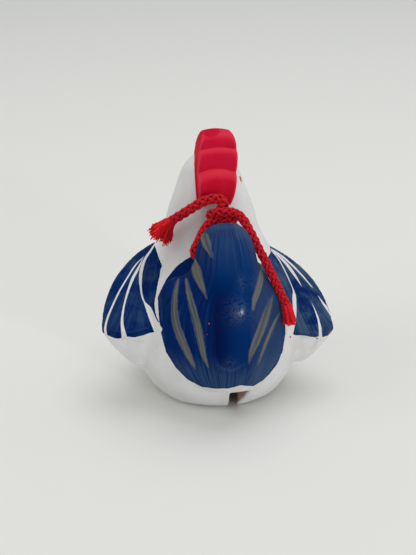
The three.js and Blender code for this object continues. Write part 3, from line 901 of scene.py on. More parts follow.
@dataclass(frozen=True)
class BareClay:
    """Unglazed fired clay, sandy and a little smoked."""

    tone: Colour = srgb(172, 116, 84)
    dark: Colour = srgb(116, 80, 62)
    pit: Colour = srgb(92, 60, 46)
    bump: float = 0.8
    bump_depth: float = 0.2 * MM

    def build(self) -> bpy.types.Material:
        """Makes the material."""
        made, graph, shader = NodeGraph.material("bare_clay")
        grain = ClayGrain.use(graph, Place=graph.place())
        colour = graph.blend(graph.ramp(grain["Cloud"], 0.3, 0.7), self.tone, self.dark)
        colour = graph.blend(graph.times(grain["Pits"], 0.7), colour, self.pit)
        relief = graph.minus(grain["Grain"], graph.times(grain["Pits"], 0.8))
        rough = graph.ramp(grain["Grain"], -1.6, 1.2, smooth=False)
        graph.cover(shader, colour, rough, relief, self.bump, self.bump_depth)
        return made


@dataclass(frozen=True)
class CordYarn:
    """Red yarn: soft sheen, uneven fibres, painted shade where strands dive under each other, painted light
    on the frayed fibres.
    """

    tone: Colour = srgb(184, 2, 26)
    light: Colour = srgb(226, 32, 46)
    crevice_shade: Colour = srgb(60, 0, 10)
    loose: Colour = srgb(255, 36, 48)
    faded: Colour = srgb(170, 8, 22)
    sheen: float = 0.03
    sheen_roughness: float = 0.4
    specular: float = 0.15
    bump: float = 0.7
    bump_depth: float = 0.12 * MM

    def build(self) -> bpy.types.Material:
        """Makes the material."""
        made, graph, shader = NodeGraph.material("red_yarn")
        place = graph.place()
        lift = graph.attribute(LIFT).outputs["Fac"]
        fibres = graph.noise(place, 3.4, 3.0, 0.6)
        patch = graph.ramp(graph.noise(place, 0.5, 2.0, 0.5), 0.5, 0.75)
        colour = graph.blend(graph.ramp(fibres, 0.38, 0.66), self.tone, self.light)
        colour = graph.blend(graph.times(patch, 0.35), colour, self.faded)
        # Painted shade where strands dive under each other and on the hidden core.
        colour = graph.blend(graph.ramp(lift, 0.55, -0.75), colour, self.crevice_shade)
        # Frayed fibres painted a brighter red: painted light.
        colour = graph.blend(graph.ramp(lift, 0.95, 1.6), colour, self.loose)
        rough = graph.ramp(fibres, -1.2, 1.3, smooth=False)
        graph.cover(shader, colour, rough, fibres, self.bump, self.bump_depth)
        shader["Sheen Weight"].default_value = self.sheen
        shader["Sheen Roughness"].default_value = self.sheen_roughness
        shader["Specular IOR Level"].default_value = self.specular
        return made


# Clay forms


@dataclass(frozen=True)
class BodyForm:
    """Body, neck and head: rows of height, half width, rear and front."""

    rows: Route = (
        (0.0, 17.0, -18.0, 18.0),
        (2.2, 19.86, -20.86, 20.86),
        (9.5, 23.97, -24.91, 24.91),
        (19.0, 25.5, -26.5, 26.5),
        (31.0, 22.0, -22.0, 27.3),
        (38.0, 17.8, -10.0, 26.6),
        (45.0, 14.4, -4.5, 25.0),
        (52.0, 12.3, -1.35, 23.5),
        (59.0, 9.8, 0.5, 22.0),
        (64.5, 7.64, 3.1, 19.6),
        (67.6, 4.7, 5.9, 16.6),
        (69.0, 1.37, 9.5, 13.0),
    )
    power: float = 2.15
    wall: float = 4.6
    bowl: float = 20.5
    bowl_height: float = 25.5
    fine: int = 600
    least_half: float = 0.8
    crown: float = 1.2
    least_hollow: float = 0.5

    def sections(self, count: int) -> np.ndarray:
        """Rows at even steps of the knots."""
        return through(np.array(self.rows), np.linspace(0, 1, count))

    def solid(self, grow: float = 0.0, count: int = 180, around: int = 200) -> Solid:
        """The body as one solid, moved outwards by grow."""
        rows = self.sections(count)
        rows = rows[rows[:, 1] + grow > self.least_half]
        c, s = superellipse(full_turn(around), self.power)
        z, half_width, rear, front = (rows[:, k : k + 1] for k in range(4))
        half_length = 0.5 * (front - rear) + grow
        return Solid.over((half_width + grow) * c, 0.5 * (front + rear) + half_length * s, z)

    def hollow(self, count: int = 120, around: int = 96) -> Solid:
        """Air inside: a round bowl below, the inner face of the wall above."""
        rows = self.sections(self.fine)
        rows = rows[rows[:, 1] > self.wall + self.crown]
        heights = np.linspace(self.bowl_height - self.bowl + 0.02, rows[-1, 0], count)[:, None]
        half_width, rear, front = (np.interp(heights, rows[:, 0], rows[:, k]) for k in (1, 2, 3))
        a = np.maximum(half_width - self.wall, self.least_hollow)
        b = np.maximum(0.5 * (front - rear) - self.wall, self.least_hollow)
        middle = 0.5 * (front + rear)
        below = np.minimum(heights - self.bowl_height, 0)
        reach = np.sqrt(np.maximum(self.bowl**2 - below**2, 0.01))
        angle = full_turn(around)
        c, s = np.cos(angle), np.sin(angle)
        inner = ((np.abs(c) / a) ** self.power + (np.abs(s) / b) ** self.power) ** (-1 / self.power)
        under = np.maximum(reach**2 - (middle * c) ** 2, 0.0)
        bowl = np.maximum(np.sqrt(under) - middle * s, 0.05)
        radius = np.minimum(inner, bowl)
        return Solid.over(radius * c, middle + radius * s, heights)

    def depth(self, points: np.ndarray) -> np.ndarray:
        """How far points lie under the outer face, roughly, in millimetres."""
        rows = self.sections(self.fine)
        a, rear, front = (np.interp(points[:, 2], rows[:, 0], rows[:, k]) for k in (1, 2, 3))
        b, middle = 0.5 * (front - rear), 0.5 * (front + rear)
        share = (np.abs(points[:, 0]) / a) ** self.power + (np.abs(points[:, 1] - middle) / b) ** self.power
        return np.minimum((1 - share ** (1 / self.power)) * np.minimum(a, b), points[:, 2])

    def rear(self, x: float, z: float) -> float:
        """Where the rear face lies at a height and a distance from the middle."""
        rows = self.sections(self.fine)
        a, rear, front = (float(np.interp(z, rows[:, 0], rows[:, k])) for k in (1, 2, 3))
        share = max(0.0, 1 - (abs(x) / a) ** self.power) ** (1 / self.power)
        return 0.5 * (front + rear) - 0.5 * (front - rear) * share


@dataclass(frozen=True)
class SlitForm:
    """Sound slit through the base, flared at its ends."""

    seam: float = 2.2
    width: float = 2.9
    reach: float = 50.0
    centre_height: float = 25.5
    far: float = 45.0
    flare: Route = (
        (7.25, -23.2, 7.2), (9.0, -29.0, 8.0), (3.9, -19.5, 1.0), (4.6, -26.0, -1.0), (2.4, -18.8, 7.0),
        (2.4, -18.1, 0.5), (0.75, -29.0, 7.4), (0.75, -23.0, 7.1), (0.75, -26.0, -1.0),
    )

    def solids(self) -> list[Solid]:
        """Cutters: the slit's sector and the flares at its two ends."""
        edge, half = math.radians(self.reach), 0.5 * self.width
        angles = np.linspace(-edge, edge, 40)
        outline = [(0.0, 0.0)] + [(self.far * math.sin(a), -self.far * math.cos(a)) for a in angles]
        outline = np.array(outline) + (0.0, self.centre_height)
        slot = Solid.prism(outline, self.seam - half, self.seam + half)
        return [slot, self._flare(1.0), self._flare(-1.0)]

    def _flare(self, side: float) -> Solid:
        """Cutter with flat faces that opens one end of the slit, the rear one where side is 1."""
        return Solid.hull(np.array(self.flare) * (1.0, side, 1.0))


@dataclass(frozen=True)
class TailForm:
    """Upright tail with a central tongue and an apron over the rump."""

    body: BodyForm
    half_width: float = 18.6
    foot: float = 8.4
    height: float = 28.0
    thickness: float = 1.4
    taper: float = 0.93
    power: float = 2.2
    tongue_half_width: float = 7.0
    tongue_rise: float = 3.4
    tongue_centre: float = 1.1
    notch: tuple[float, float, float] = (-10.5, 3.0, 2.2)
    notch_fade: tuple[float, float] = (33.0, 7.0)
    square: Route = ((30.0, 1.0), (45.0, 1.2))
    apron_front: float = 3.0
    # Shares of the apron's height and half width, lift of the rear face, share of the tongue's rise
    apron: Route = (
        (0.0, 0.32, 0.7, 0.05), (0.12, 0.58, 0.0, 0.4), (0.38, 0.82, 0.0, 1.15), (0.7, 0.98, -0.5, 1.35),
        (1.05, 1.0, -2.0, 1.35),
    )
    hole: tuple[float, float] = (-14.9, 46.4)
    hole_radius: float = 2.3
    hole_reach: float = 20.0

    def _apron(self, z: float, width: float, rear: float, rise: float) -> tuple[float, ...]:
        """Row that runs out on the body's own face."""
        share = (1 - self.taper**self.power) ** (1 / self.power)
        behind = (self.body.rear(self.taper * width, z) - rear) / (1 - share)
        return (z, width, rear + behind, behind, self.apron_front, rise)

    def rows(self) -> np.ndarray:
        """Rows of height, half width, middle, depth behind and before it, and tongue rise."""
        w, r = self.half_width, self.tongue_rise
        span = self.height - self.foot
        low = []
        for share, wide, lift, rise in self.apron:
            z = self.foot + share * span
            low.append(self._apron(z, wide * w, self.body.rear(0.0, z) - self.thickness + lift, rise * r))
        high = [
            (35.5, 0.9 * w, -9.9, 16.2, 4.0, 1.4 * r),
            (41.0, 0.68 * w, -13.3, 11.8, 5.0, 0.95 * r),
            (45.0, 9.5, -17.1, 7.2, 6.24, 0.66 * r),
            (51.2, 7.9, -18.2, 4.9, 6.0, 0.25 * r),
            (54.6, 6.4, -18.8, 3.0, 4.6, 0.0),
            (56.6, 4.3, -18.4, 1.8, 2.4, 0.0),
            (57.3, 2.2, -18.1, 0.9, 1.2, 0.0),
        ]
        return np.array(low + high)

    def solid(self, count: int = 150, around: int = 160) -> Solid:
        """The tail, still without its cord hole."""
        rows = through(self.rows(), np.linspace(0, 1, count))
        z, width, middle, behind, before, rise = (rows[:, k : k + 1] for k in range(6))
        powers = [(height, share * self.power) for height, share in self.square]
        c, s = superellipse(full_turn(around), graded(z, powers))
        x = width * c
        tongue = rise * np.exp(-(((x - self.tongue_centre) / self.tongue_half_width) ** 4))
        y = np.where(s < 0, middle + (behind + tongue) * s, middle + before * s)
        place, spread, depth = self.notch
        foot, span = self.notch_fade
        height = z - depth * np.exp(-(((x - place) / spread) ** 2)) * np.clip((z - foot) / span, 0, 1)
        return Solid.over(x, y, height)

    def cord_hole(self) -> Solid:
        """Cutter for the hole that the cord goes through."""
        angle = full_turn(32)
        outline = self.hole_radius * np.column_stack([np.cos(angle), np.sin(angle)])
        return Solid.prism(self.hole + outline, -self.hole_reach, self.hole_reach)


@dataclass(frozen=True)
class WingForm:
    """Wing that spreads from a point on the shoulder to a thick trailing face."""

    side: float
    lift_root: float = 0.0
    lift_tip: float = 0.0
    reach: float = 1.0
    bow: float = 3.0
    edge_radius: float = 0.85
    edge: Route = ((14.4, 11.0, 40.3), (23.4, 7.7, 38.6), (34.4, 0.0, 33.0), (34.6, -10.0, 22.0))
    upper: Route = ((10.4, 11.0, 38.5), (19.5, -14.0, 24.0))
    lower: Route = ((12.4, 13.0, 30.0), (24.0, -12.0, 11.0))
    # Shares of the way in, and lengths back, of the rows that close the trailing face
    closing: Route = ((0.03, 0.25), (0.06, 0.4), (0.28, 1.1), (0.5, 1.8))

    def _edge(self, t: np.ndarray) -> np.ndarray:
        """Outer edge from shoulder to tip, before it is set in place."""
        p, t = np.array(self.edge), t[:, None]
        return (1 - t) ** 3 * p[0] + 3 * t * (1 - t) ** 2 * p[1] + 3 * t**2 * (1 - t) * p[2] + t**3 * p[3]

    def _placed(self, points: np.ndarray, along: np.ndarray) -> np.ndarray:
        """Points set on this wing's side, lifted as it is from shoulder to tip."""
        made = points * (self.side * self.reach, 1.0, 1.0)
        made[..., 2] += self.lift_root + (self.lift_tip - self.lift_root) * along
        return made

    def crest(self) -> np.ndarray:
        """The outer edge in place."""
        t = np.linspace(0, 1, 90)
        return self._placed(self._edge(t), t)

    def solid(self, count: int = 90, around: int = 120) -> Solid:
        """The wing as one solid."""
        upper, lower = np.array(self.upper), np.array(self.lower)
        steps = np.linspace(0, 1, count)
        rings = []
        for t, b in zip(steps, self._edge(steps)):
            a = upper[0] + t * (upper[1] - upper[0])
            c = lower[0] + t * (lower[1] - lower[0])
            up, down = (a - b) / np.linalg.norm(a - b), (c - b) / np.linalg.norm(c - b)
            inward = (up + down) / np.linalg.norm(up + down)
            across = (up - down) / np.linalg.norm(up - down)
            knots = np.array([
                0.5 * (a + b) + (0.5, -self.bow * t, 0.8),
                a,
                0.5 * (a + c) - (8.0, 0.0, 0.0),
                c,
                c + 0.55 * (b - c) + (0.6 * t, -0.5 * self.bow * t, -0.5 * t),
                b + self.edge_radius * (inward - across),
                b,
                b + self.edge_radius * (inward + across),
            ])
            rings.append(centripetal(knots, around, True))
        rim = rings[-1]
        middle = rim.mean(axis=0)
        for share, back in self.closing:
            rings.append(rim + share * (middle - rim) - (0.0, back, 0.0))
        made = self._placed(np.array(rings), np.minimum(np.arange(len(rings)) / (count - 1), 1)[:, None])
        return Solid.loft(made if self.side > 0 else made[:, ::-1])


@dataclass(frozen=True)
class CombForm:
    """Thick comb of three lobes over crown and nape: outline of height over length, swept sideways."""

    thickness: float = 13.2
    bevel: float = 0.6
    lean: float = 2.1
    shift: float = -0.25
    arch: Route = ((66.0, 1.4), (75.0, 0.6))
    middle: tuple[float, float] = (9.0, 66.5)
    breadth: Route = (
        (58.0, 0.71), (61.0, 0.78), (65.0, 0.86), (68.0, 0.89), (70.6, 0.875), (73.0, 0.81),
        (75.0, 0.735),
    )
    foot_height: float = 59.0
    top_height: float = 75.0
    # Narrowing towards the front: how much, from which length on, and over what length
    narrowing: tuple[float, float, float] = (0.13, 7.0, 8.0)
    profile: Route = (
        (-0.6, 57.6), (-1.4, 58.3), (-1.9, 59.6), (-2.0, 61.2), (-1.75, 62.8), (-1.2, 64.1),
        (-0.4, 65.0), (0.6, 65.65), (1.7, 66.05), (2.35, 66.2), (2.6, 66.4), (2.68, 66.8), (2.85, 67.7),
        (3.2, 68.9), (3.7, 69.9), (4.45, 70.75), (5.3, 71.25), (6.0, 71.42), (6.28, 71.58),
        (6.36, 71.95), (6.65, 72.8), (7.25, 73.75), (8.2, 74.5), (9.5, 74.9), (11.2, 75.0), (13.6, 74.9),
        (16.0, 74.0), (17.6, 71.6), (18.3, 68.0), (18.5, 64.4), (15.0, 62.6), (10.0, 62.0), (4.8, 58.2),
    )

    def outline(self) -> np.ndarray:
        """Side outline as many points, length and height."""
        return centripetal(np.array(self.profile), 310, True)[::-1]

    def solid(self) -> Solid:
        """The comb as one solid."""
        outline = self.outline()
        ahead, behind = np.roll(outline, -1, axis=0), np.roll(outline, 1, axis=0)
        along = ahead - behind
        along /= np.linalg.norm(along, axis=1)[:, None]
        inward = np.column_stack([-along[:, 1], along[:, 0]])
        half = 0.5 * self.thickness
        stations = [(half, self.bevel, share) for share in (0.05, 0.2, 0.4, 0.6, 0.8, 0.92)]
        for angle in np.linspace(0, 0.5 * math.pi, 7):
            inset = self.bevel * (1 - math.sin(angle))
            stations.append((half - self.bevel + self.bevel * math.cos(angle), inset, 1.0))
        stations += [(x, 0.0, 1.0) for x in np.linspace(half - self.bevel, 0, 8)[1:]]
        stations = [(-x, *rest) for x, *rest in stations[:-1]] + stations[::-1]
        area = 0.5 * float(np.sum(outline[:, 0] * ahead[:, 1] - ahead[:, 0] * outline[:, 1]))
        turn = 1.0 if area > 0 else -1.0
        amount, start, span = self.narrowing
        rings = []
        for x, inset, share in stations:
            flat = self.middle + share * (outline + turn * inset * inward - self.middle)
            ring = np.empty((len(flat), 3))
            rise = (flat[:, 1] - self.foot_height) / (self.top_height - self.foot_height)
            wide = graded(flat[:, 1], self.breadth)
            front = amount * np.clip((flat[:, 0] - start) / span, 0, 1)
            ring[:, 0] = self.shift + self.lean * rise + (wide - front) * x
            ring[:, 1:] = flat
            ring[:, 2] -= graded(flat[:, 1], self.arch) * (x / half) ** 2
            rings.append(ring if area > 0 else ring[::-1])
        return Solid.loft(np.array(rings))


@dataclass(frozen=True)
class BeakForm:
    """Short cone of a beak, drooping a little."""

    root: tuple[float, float] = (22.0, 60.0)
    droop: float = 0.18
    profile: Route = (
        (4.4, -4.9), (4.4, 0.98), (3.9, 2.9), (3.34, 4.9), (2.7, 6.6), (2.02, 8.0), (0.88, 9.5),
        (0.2, 9.8),
    )

    def solid(self) -> Solid:
        """The beak as one solid."""
        angle = full_turn(48)
        radius, length = np.array(self.profile).T[..., None]
        c, s = math.cos(-self.droop), math.sin(-self.droop)
        z = radius * np.sin(angle)
        y = self.root[0] * c + c * length - s * z
        return Solid.over(-radius * np.cos(angle), y, self.root[1] + s * length + c * z)


@dataclass(frozen=True)
class WattleForm:
    """Drop-shaped wattle under the beak."""

    side: float
    spread: float = 3.4
    place: tuple[float, float] = (24.4, 51.5)
    length: float = 9.0
    radius: float = 2.6

    def solid(self) -> Solid:
        """The wattle as one solid."""
        angle = full_turn(40)
        polar = np.linspace(0.06, math.pi - 0.06, 26)[:, None]
        radius = self.radius * (1 + 0.25 * np.cos(polar)) * np.sin(polar)
        x = self.side * self.spread + radius * np.cos(angle)
        z = self.place[1] - 0.5 * self.length * np.cos(polar)
        return Solid.over(x, self.place[0] + radius * np.sin(angle), z)


# Brushwork


def stretch(points: np.ndarray, a: np.ndarray, b: np.ndarray) -> tuple[np.ndarray, np.ndarray]:
    """Share of the way from a to b at which each point lies, and its offset from that place."""
    span = b - a
    t = np.clip(((points - a) @ span) / max(float(span @ span), 1e-9), 0, 1)
    return t, points - a - t[:, None] * span


def signed_area(points: np.ndarray, outline: Route) -> np.ndarray:
    """Distance to a closed outline, positive inside.

    Args:
        points: places on the frame.
        outline: corners of the outline.

    Returns:
        One distance per point, in the units of the points.
    """
    corners = np.array(outline, dtype=float)
    nearest = np.full(len(points), 1e9)
    inside = np.zeros(len(points), dtype=bool)
    for a, b in zip(corners, np.roll(corners, -1, axis=0)):
        span = b - a
        nearest = np.minimum(nearest, np.linalg.norm(stretch(points, a, b)[1], axis=1))
        crosses = (a[1] > points[:, 1]) != (b[1] > points[:, 1])
        rise = span[1] if abs(span[1]) > 1e-9 else 1e-9
        inside ^= crosses & (points[:, 0] < a[0] + (points[:, 1] - a[1]) * span[0] / rise)
    return np.where(inside, nearest, -nearest)


def stroke(points: np.ndarray, line: Route) -> tuple[np.ndarray, np.ndarray]:
    """Side distance from a brush line and the line's half width beside each point.

    Args:
        points: places on the frame.
        line: rows of column, line and half width; past both ends the line runs on without width.

    Returns:
        Signed distance, and half width, negative where the line has ended or is far away.
    """
    rows = np.array(line, dtype=float)
    dense = centripetal(rows, 6 * len(rows), False)
    run_on, no_width, reach = 40, -40.0, 12
    first = dense[0] + run_on * (dense[0] - dense[1]) / np.linalg.norm((dense[0] - dense[1])[:2])
    last = dense[-1] + run_on * (dense[-1] - dense[-2]) / np.linalg.norm((dense[-1] - dense[-2])[:2])
    first[2] = last[2] = no_width
    dense = np.vstack([first, dense, last])
    best = np.full(len(points), 1e9)
    signed = np.zeros(len(points))
    width = np.zeros(len(points))
    for a, b in zip(dense[:-1], dense[1:]):
        span = (b - a)[:2]
        t, away = stretch(points, a[:2], b[:2])
        distance = np.linalg.norm(away, axis=1)
        near = distance < best
        side = np.sign(span[0] * away[:, 1] - span[1] * away[:, 0])
        best = np.where(near, distance, best)
        signed = np.where(near, side * distance, signed)
        width = np.where(near, a[2] + t * (b[2] - a[2]), width)
    return signed, np.where(best > reach, no_width, width)


@dataclass(frozen=True)
class Brushwork:
    """Where the paints go: outlines and strokes, in pixels of the photograph's frame."""

    camera: PhotoCamera
    # Rows of place and value: reach of the saddle over the sides, foot of the stem's navy over the length,
    # and how far that foot drops on the hidden face
    saddle: Route = ((-9.0, 6.0), (-1.0, 0.6))
    stem_foot: Route = ((-10.0, 40.2), (2.0, 37.4))
    stem_drop: Route = ((-6.0, 10.0), (-2.0, 0.0))
    stem_margin: float = 0.9
    rump: float = -9.0
    stripes_from: float = -12.0
    stripe_apart: float = 7.0
    wing_reach: float = 6.0
    wing_rim: float = 1.6
    wing_from: float = 17.5
    # Side, column and line of the points from which the brush fans out over the wings
    wing_fans: Route = ((-1.0, 156.0, 232.0), (1.0, 266.0, 236.0))
    shine_edge: float = 7.0
    apron: Route = (
        (194.0, 254.8), (258.0, 254.8), (262.0, 268.0), (268.0, 277.5), (275.1, 290.5), (281.5, 304.7),
        (285.2, 321.2), (285.5, 333.4), (282.6, 351.4), (277.0, 364.3), (269.2, 374.3), (263.3, 380.2),
        (253.8, 386.1), (247.0, 385.9), (240.8, 385.3), (234.0, 387.2), (227.9, 388.4), (216.1, 388.8),
        (201.6, 386.9), (187.8, 379.8), (175.8, 367.8), (165.8, 351.6), (161.0, 333.4), (158.8, 316.5),
        (157.7, 297.6), (160.6, 290.5), (166.5, 278.7), (177.1, 265.7), (185.0, 260.0),
    )
    left_wing: Route = (
        (154.5, 238.0), (88.0, 238.0), (86.0, 333.0), (104.0, 333.6), (108.5, 335.4), (114.8, 338.4),
        (118.3, 338.8), (127.7, 336.6), (134.6, 337.5), (143.2, 335.3), (150.1, 332.8), (154.4, 332.3),
        (158.7, 322.0), (155.3, 312.5), (154.4, 303.9), (155.7, 295.3), (157.4, 285.8), (160.0, 274.5),
        (160.3, 270.0), (162.2, 266.0), (158.5, 257.0), (154.8, 245.0),
    )
    right_wing: Route = (
        (269.4, 243.0), (345.0, 243.0), (345.0, 333.0), (331.7, 333.6), (327.4, 335.8), (321.8, 337.1),
        (317.9, 337.9), (310.1, 336.6), (303.2, 335.3), (296.3, 335.3), (292.9, 334.5), (294.2, 328.0),
        (295.3, 317.7), (293.6, 309.0), (291.6, 311.0), (289.4, 315.0), (287.6, 311.5), (285.6, 306.0),
        (283.0, 299.0), (277.0, 290.0), (270.0, 275.0), (267.3, 258.2), (270.6, 252.4),
    )
    left_lines: tuple[Route, ...] = (
        ((144.5, 255.8, 0.1), (135.5, 265.1, 0.6), (127.7, 277.2, 0.7), (119.1, 291.8, 0.75),
         (112.2, 306.5, 0.85), (107.1, 319.4, 0.95), (105.3, 328.0, 1.1), (105.8, 336.0, 1.4)),
        ((143.3, 257.4, 0.1), (138.1, 268.6, 1.1), (132.9, 278.1, 1.35), (128.6, 289.3, 1.05),
         (124.7, 303.0, 0.85), (122.6, 314.2, 1.05), (122.1, 323.7, 1.4), (123.4, 332.3, 2.1),
         (124.7, 339.5, 3.0)),
        ((156.0, 242.4, 0.7), (150.1, 251.4, 0.95), (145.0, 259.1, 1.25), (141.5, 269.5, 1.6),
         (140.4, 279.8, 1.45), (140.9, 288.4, 1.0), (142.4, 297.0, 0.8), (144.6, 302.6, 0.9),
         (148.6, 308.8, 2.7), (153.2, 320.3, 3.3), (158.5, 330.9, 4.4)),
    )
    right_lines: tuple[Route, ...] = (
        ((270.4, 248.4, 0.3), (279.1, 254.0, 0.75), (289.5, 262.6, 0.85), (299.8, 272.9, 0.7),
         (306.7, 280.7, 0.55), (312.3, 287.5, 0.2), (315.0, 291.4, -0.7), (317.6, 295.0, -0.1),
         (323.0, 303.0, 0.9), (328.2, 309.9, 1.3), (333.5, 317.0, 1.9)),
        ((270.9, 249.2, 0.3), (277.4, 254.8, 0.8), (286.0, 263.4, 1.25), (292.0, 271.2, 1.3),
         (297.2, 278.9, 0.8), (301.9, 286.7, 0.1), (306.5, 294.5, -0.8), (311.0, 301.4, 0.0),
         (315.3, 310.8, 0.5), (318.3, 319.4, 0.9), (320.0, 328.0, 1.3), (320.6, 339.0, 1.8)),
        ((270.8, 250.2, 0.3), (277.4, 257.4, 0.55), (283.4, 267.7, 0.5), (289.5, 280.7, 0.45),
         (293.4, 290.5, 0.6), (294.2, 296.5, 1.8), (294.4, 303.0, 1.9), (294.8, 311.0, 1.7),
         (294.0, 322.0, 1.6), (291.0, 336.0, 1.6)),
    )
    olive: tuple[Route, ...] = (
        ((178.4, 279.0, 0.8), (175.6, 290.5, 2.2), (174.4, 304.7, 3.0), (175.6, 321.2, 3.4),
         (180.3, 336.5, 3.9), (186.0, 349.5, 3.4), (190.9, 360.1, 2.4), (195.5, 369.0, 0.4)),
        ((186.0, 278.6, 1.0), (188.5, 291.7, 2.4), (192.9, 309.4, 3.3), (197.6, 327.1, 3.8),
         (201.1, 342.4, 3.6), (204.0, 356.6, 2.4), (208.0, 367.0, 0.3)),
        ((203.4, 231.5, 0.8), (204.2, 236.0, 4.0), (206.3, 243.0, 4.2), (209.6, 251.0, 2.4),
         (213.6, 259.0, 0.2)),
        ((193.2, 257.5, 0.6), (194.6, 264.0, 3.4), (197.0, 273.0, 4.5), (200.8, 283.5, 3.2),
         (204.0, 291.5, 1.6), (207.0, 299.0, 0.1)),
        ((261.8, 267.0, 0.9), (260.3, 281.1, 2.7), (257.4, 291.7, 3.0), (254.4, 301.1, 2.2),
         (252.6, 312.0, 0.3)),
        ((272.6, 294.4, 0.5), (268.0, 309.4, 3.0), (262.1, 327.1, 3.8), (256.2, 341.2, 3.6),
         (251.5, 353.0, 2.4), (248.6, 364.0, 0.4)),
        ((280.2, 311.9, 0.3), (273.9, 324.7, 1.8), (268.0, 338.9, 1.9), (262.1, 354.2, 1.3),
         (258.0, 365.0, 0.1)),
    )
    tongue: Route = (
        (214.0, 246.0), (222.0, 238.0), (246.0, 238.0), (252.0, 252.0), (255.0, 270.0), (256.0, 290.0),
        (254.0, 310.0), (250.0, 330.0), (248.0, 350.0), (243.0, 364.0), (232.0, 370.0), (220.0, 367.0),
        (213.0, 352.0), (212.0, 325.0), (213.5, 300.0), (214.5, 270.0),
    )
    rubbed: Route = ((237.5, 311.0, 12.0, 1.0), (246.0, 283.0, 9.0, 0.45), (230.0, 363.0, 6.0, 0.5))
    chips: Route = (
        (240.0, 176.8, 0.8), (240.5, 178.4, 0.9), (240.9, 180.2, 0.9), (241.3, 182.0, 0.7),
        (209.2, 323.6, 0.9), (207.2, 334.6, 0.6), (290.3, 337.1, 1.0), (329.9, 332.3, 0.9),
        (317.0, 338.6, 1.0), (320.5, 339.9, 0.6), (326.5, 339.7, 0.7),
    )

    def blue(self, at: np.ndarray, points: np.ndarray, facing: np.ndarray, near: dict[str, np.ndarray],
             crests: dict[str, np.ndarray], covered: dict[str, np.ndarray]) -> np.ndarray:
        """Navy of tail and wings, on the wings to just past the outer edge.

        Args:
            at: places on the photograph's frame.
            points: places in millimetres.
            facing: how far each point faces the camera.
            near: distance to each part.
            crests: outer edge of each wing.
            covered: whether each wing hides the point from the camera.

        Returns:
            Distance inside the paint's edge, negative outside it.
        """
        per = self.camera.pixels_per_mm()
        limit = np.maximum(self.rump - points[:, 1], graded(points[:, 0], self.saddle) - near["tail"])
        back = np.minimum(signed_area(at, self.apron) / per, np.minimum(4 * facing + 1.0, limit))
        foot = graded(points[:, 1], self.stem_foot) + 0.5 * np.sin(0.9 * points[:, 1])
        foot -= np.where(facing < -0.1, graded(points[:, 0], self.stem_drop), 0.0)
        stem = np.minimum(self.stem_margin - near["tail"], 0.8 * (points[:, 2] - foot))
        result = np.maximum(back, stem)
        for name, outline in (("left_wing", self.left_wing), ("right_wing", self.right_wing)):
            area = np.minimum(signed_area(at, outline) / per, self.wing_reach - near[name])
            past = np.full(len(points), np.inf)
            for spot in crests[name]:
                past = np.minimum(past, np.sum((points - spot) ** 2, axis=1))
            seen = (facing > 0.05) & ~covered[name]
            rim = np.where(seen, 3.0, self.wing_rim - np.sqrt(past))
            result = np.maximum(result, np.minimum(area, rim))
        return result

    def stripes(self, at: np.ndarray, points: np.ndarray,
                facing: np.ndarray) -> tuple[np.ndarray, np.ndarray]:
        """Olive stripes of the tail, and the way that the brush went along them."""
        per = self.camera.pixels_per_mm()
        result = np.full(len(points), UNPAINTED)
        trail = np.zeros((len(points), 3))
        for number, line in enumerate(self.olive):
            distance, width = stroke(at, line)
            inside = (width - np.abs(distance)) / per
            apart = np.full(len(at), self.stripe_apart * number)
            way = np.column_stack([distance / per, points[:, 2], apart])
            trail = np.where((inside > result)[:, None], way, trail)
            result = np.maximum(result, inside)
        limit = np.minimum(6 * facing - 0.6, self.stripes_from - points[:, 1])
        return np.minimum(result, limit), trail

    def lines(self, at: np.ndarray, points: np.ndarray, facing: np.ndarray, number: int) -> np.ndarray:
        """One feather line of each wing, as distance and half width, none on the underside."""
        per = self.camera.pixels_per_mm()
        left = np.column_stack(stroke(at, self.left_lines[number]))
        right = np.column_stack(stroke(at, self.right_lines[number]))
        both = np.where(points[:, :1] < 0, left, right) / per
        both[facing < -0.05, 1] = UNPAINTED
        return np.column_stack([both, np.zeros(len(points))])

    def flow(self, at: np.ndarray, points: np.ndarray, tail: TailForm) -> np.ndarray:
        """Brush direction: across and along the stroke, in millimetres."""
        rows = through(tail.rows(), np.linspace(0, 1, 200))
        width = np.interp(points[:, 2], rows[:, 0], rows[:, 1])
        across = points[:, 0] / np.maximum(width, 6.0) * 15
        made = np.column_stack([across, points[:, 2], np.zeros(len(points))])
        for side, column, line in self.wing_fans:
            away = (at - (column, line)) / self.camera.pixels_per_mm()
            fan = np.column_stack([18 * np.arctan2(away[:, 0], away[:, 1]), np.linalg.norm(away, axis=1),
                                   np.full(len(points), 20 * side)])
            made = np.where((side * points[:, 0] > self.wing_from)[:, None], fan, made)
        return made

    def chipped(self, at: np.ndarray, facing: np.ndarray) -> np.ndarray:
        """Small chips where the clay shows."""
        result = np.full(len(at), UNPAINTED)
        for column, line, radius in self.chips:
            away = np.linalg.norm(at - (column, line), axis=1)
            result = np.maximum(result, (radius - away) / self.camera.pixels_per_mm())
        return np.where(facing > 0, result, UNPAINTED)

    def polish(self, at: np.ndarray, facing: np.ndarray) -> np.ndarray:
        """Spots rubbed to a shine, 0 to 1."""
        result = np.zeros(len(at))
        for column, line, radius, share in self.rubbed:
            away = np.linalg.norm(at - (column, line), axis=1) / radius
            result = np.maximum(result, share * np.exp(-(away**2)))
        return np.where(facing > 0, result, 0.0)

    def shine(self, at: np.ndarray, points: np.ndarray, facing: np.ndarray) -> np.ndarray:
        """Polished middle of the tail, 0 to 1."""
        share = np.clip(0.5 + signed_area(at, self.tongue) / self.shine_edge, 0, 1)
        return np.where((facing > 0) & (points[:, 1] < self.rump), share, 0.0)


# Clay bird


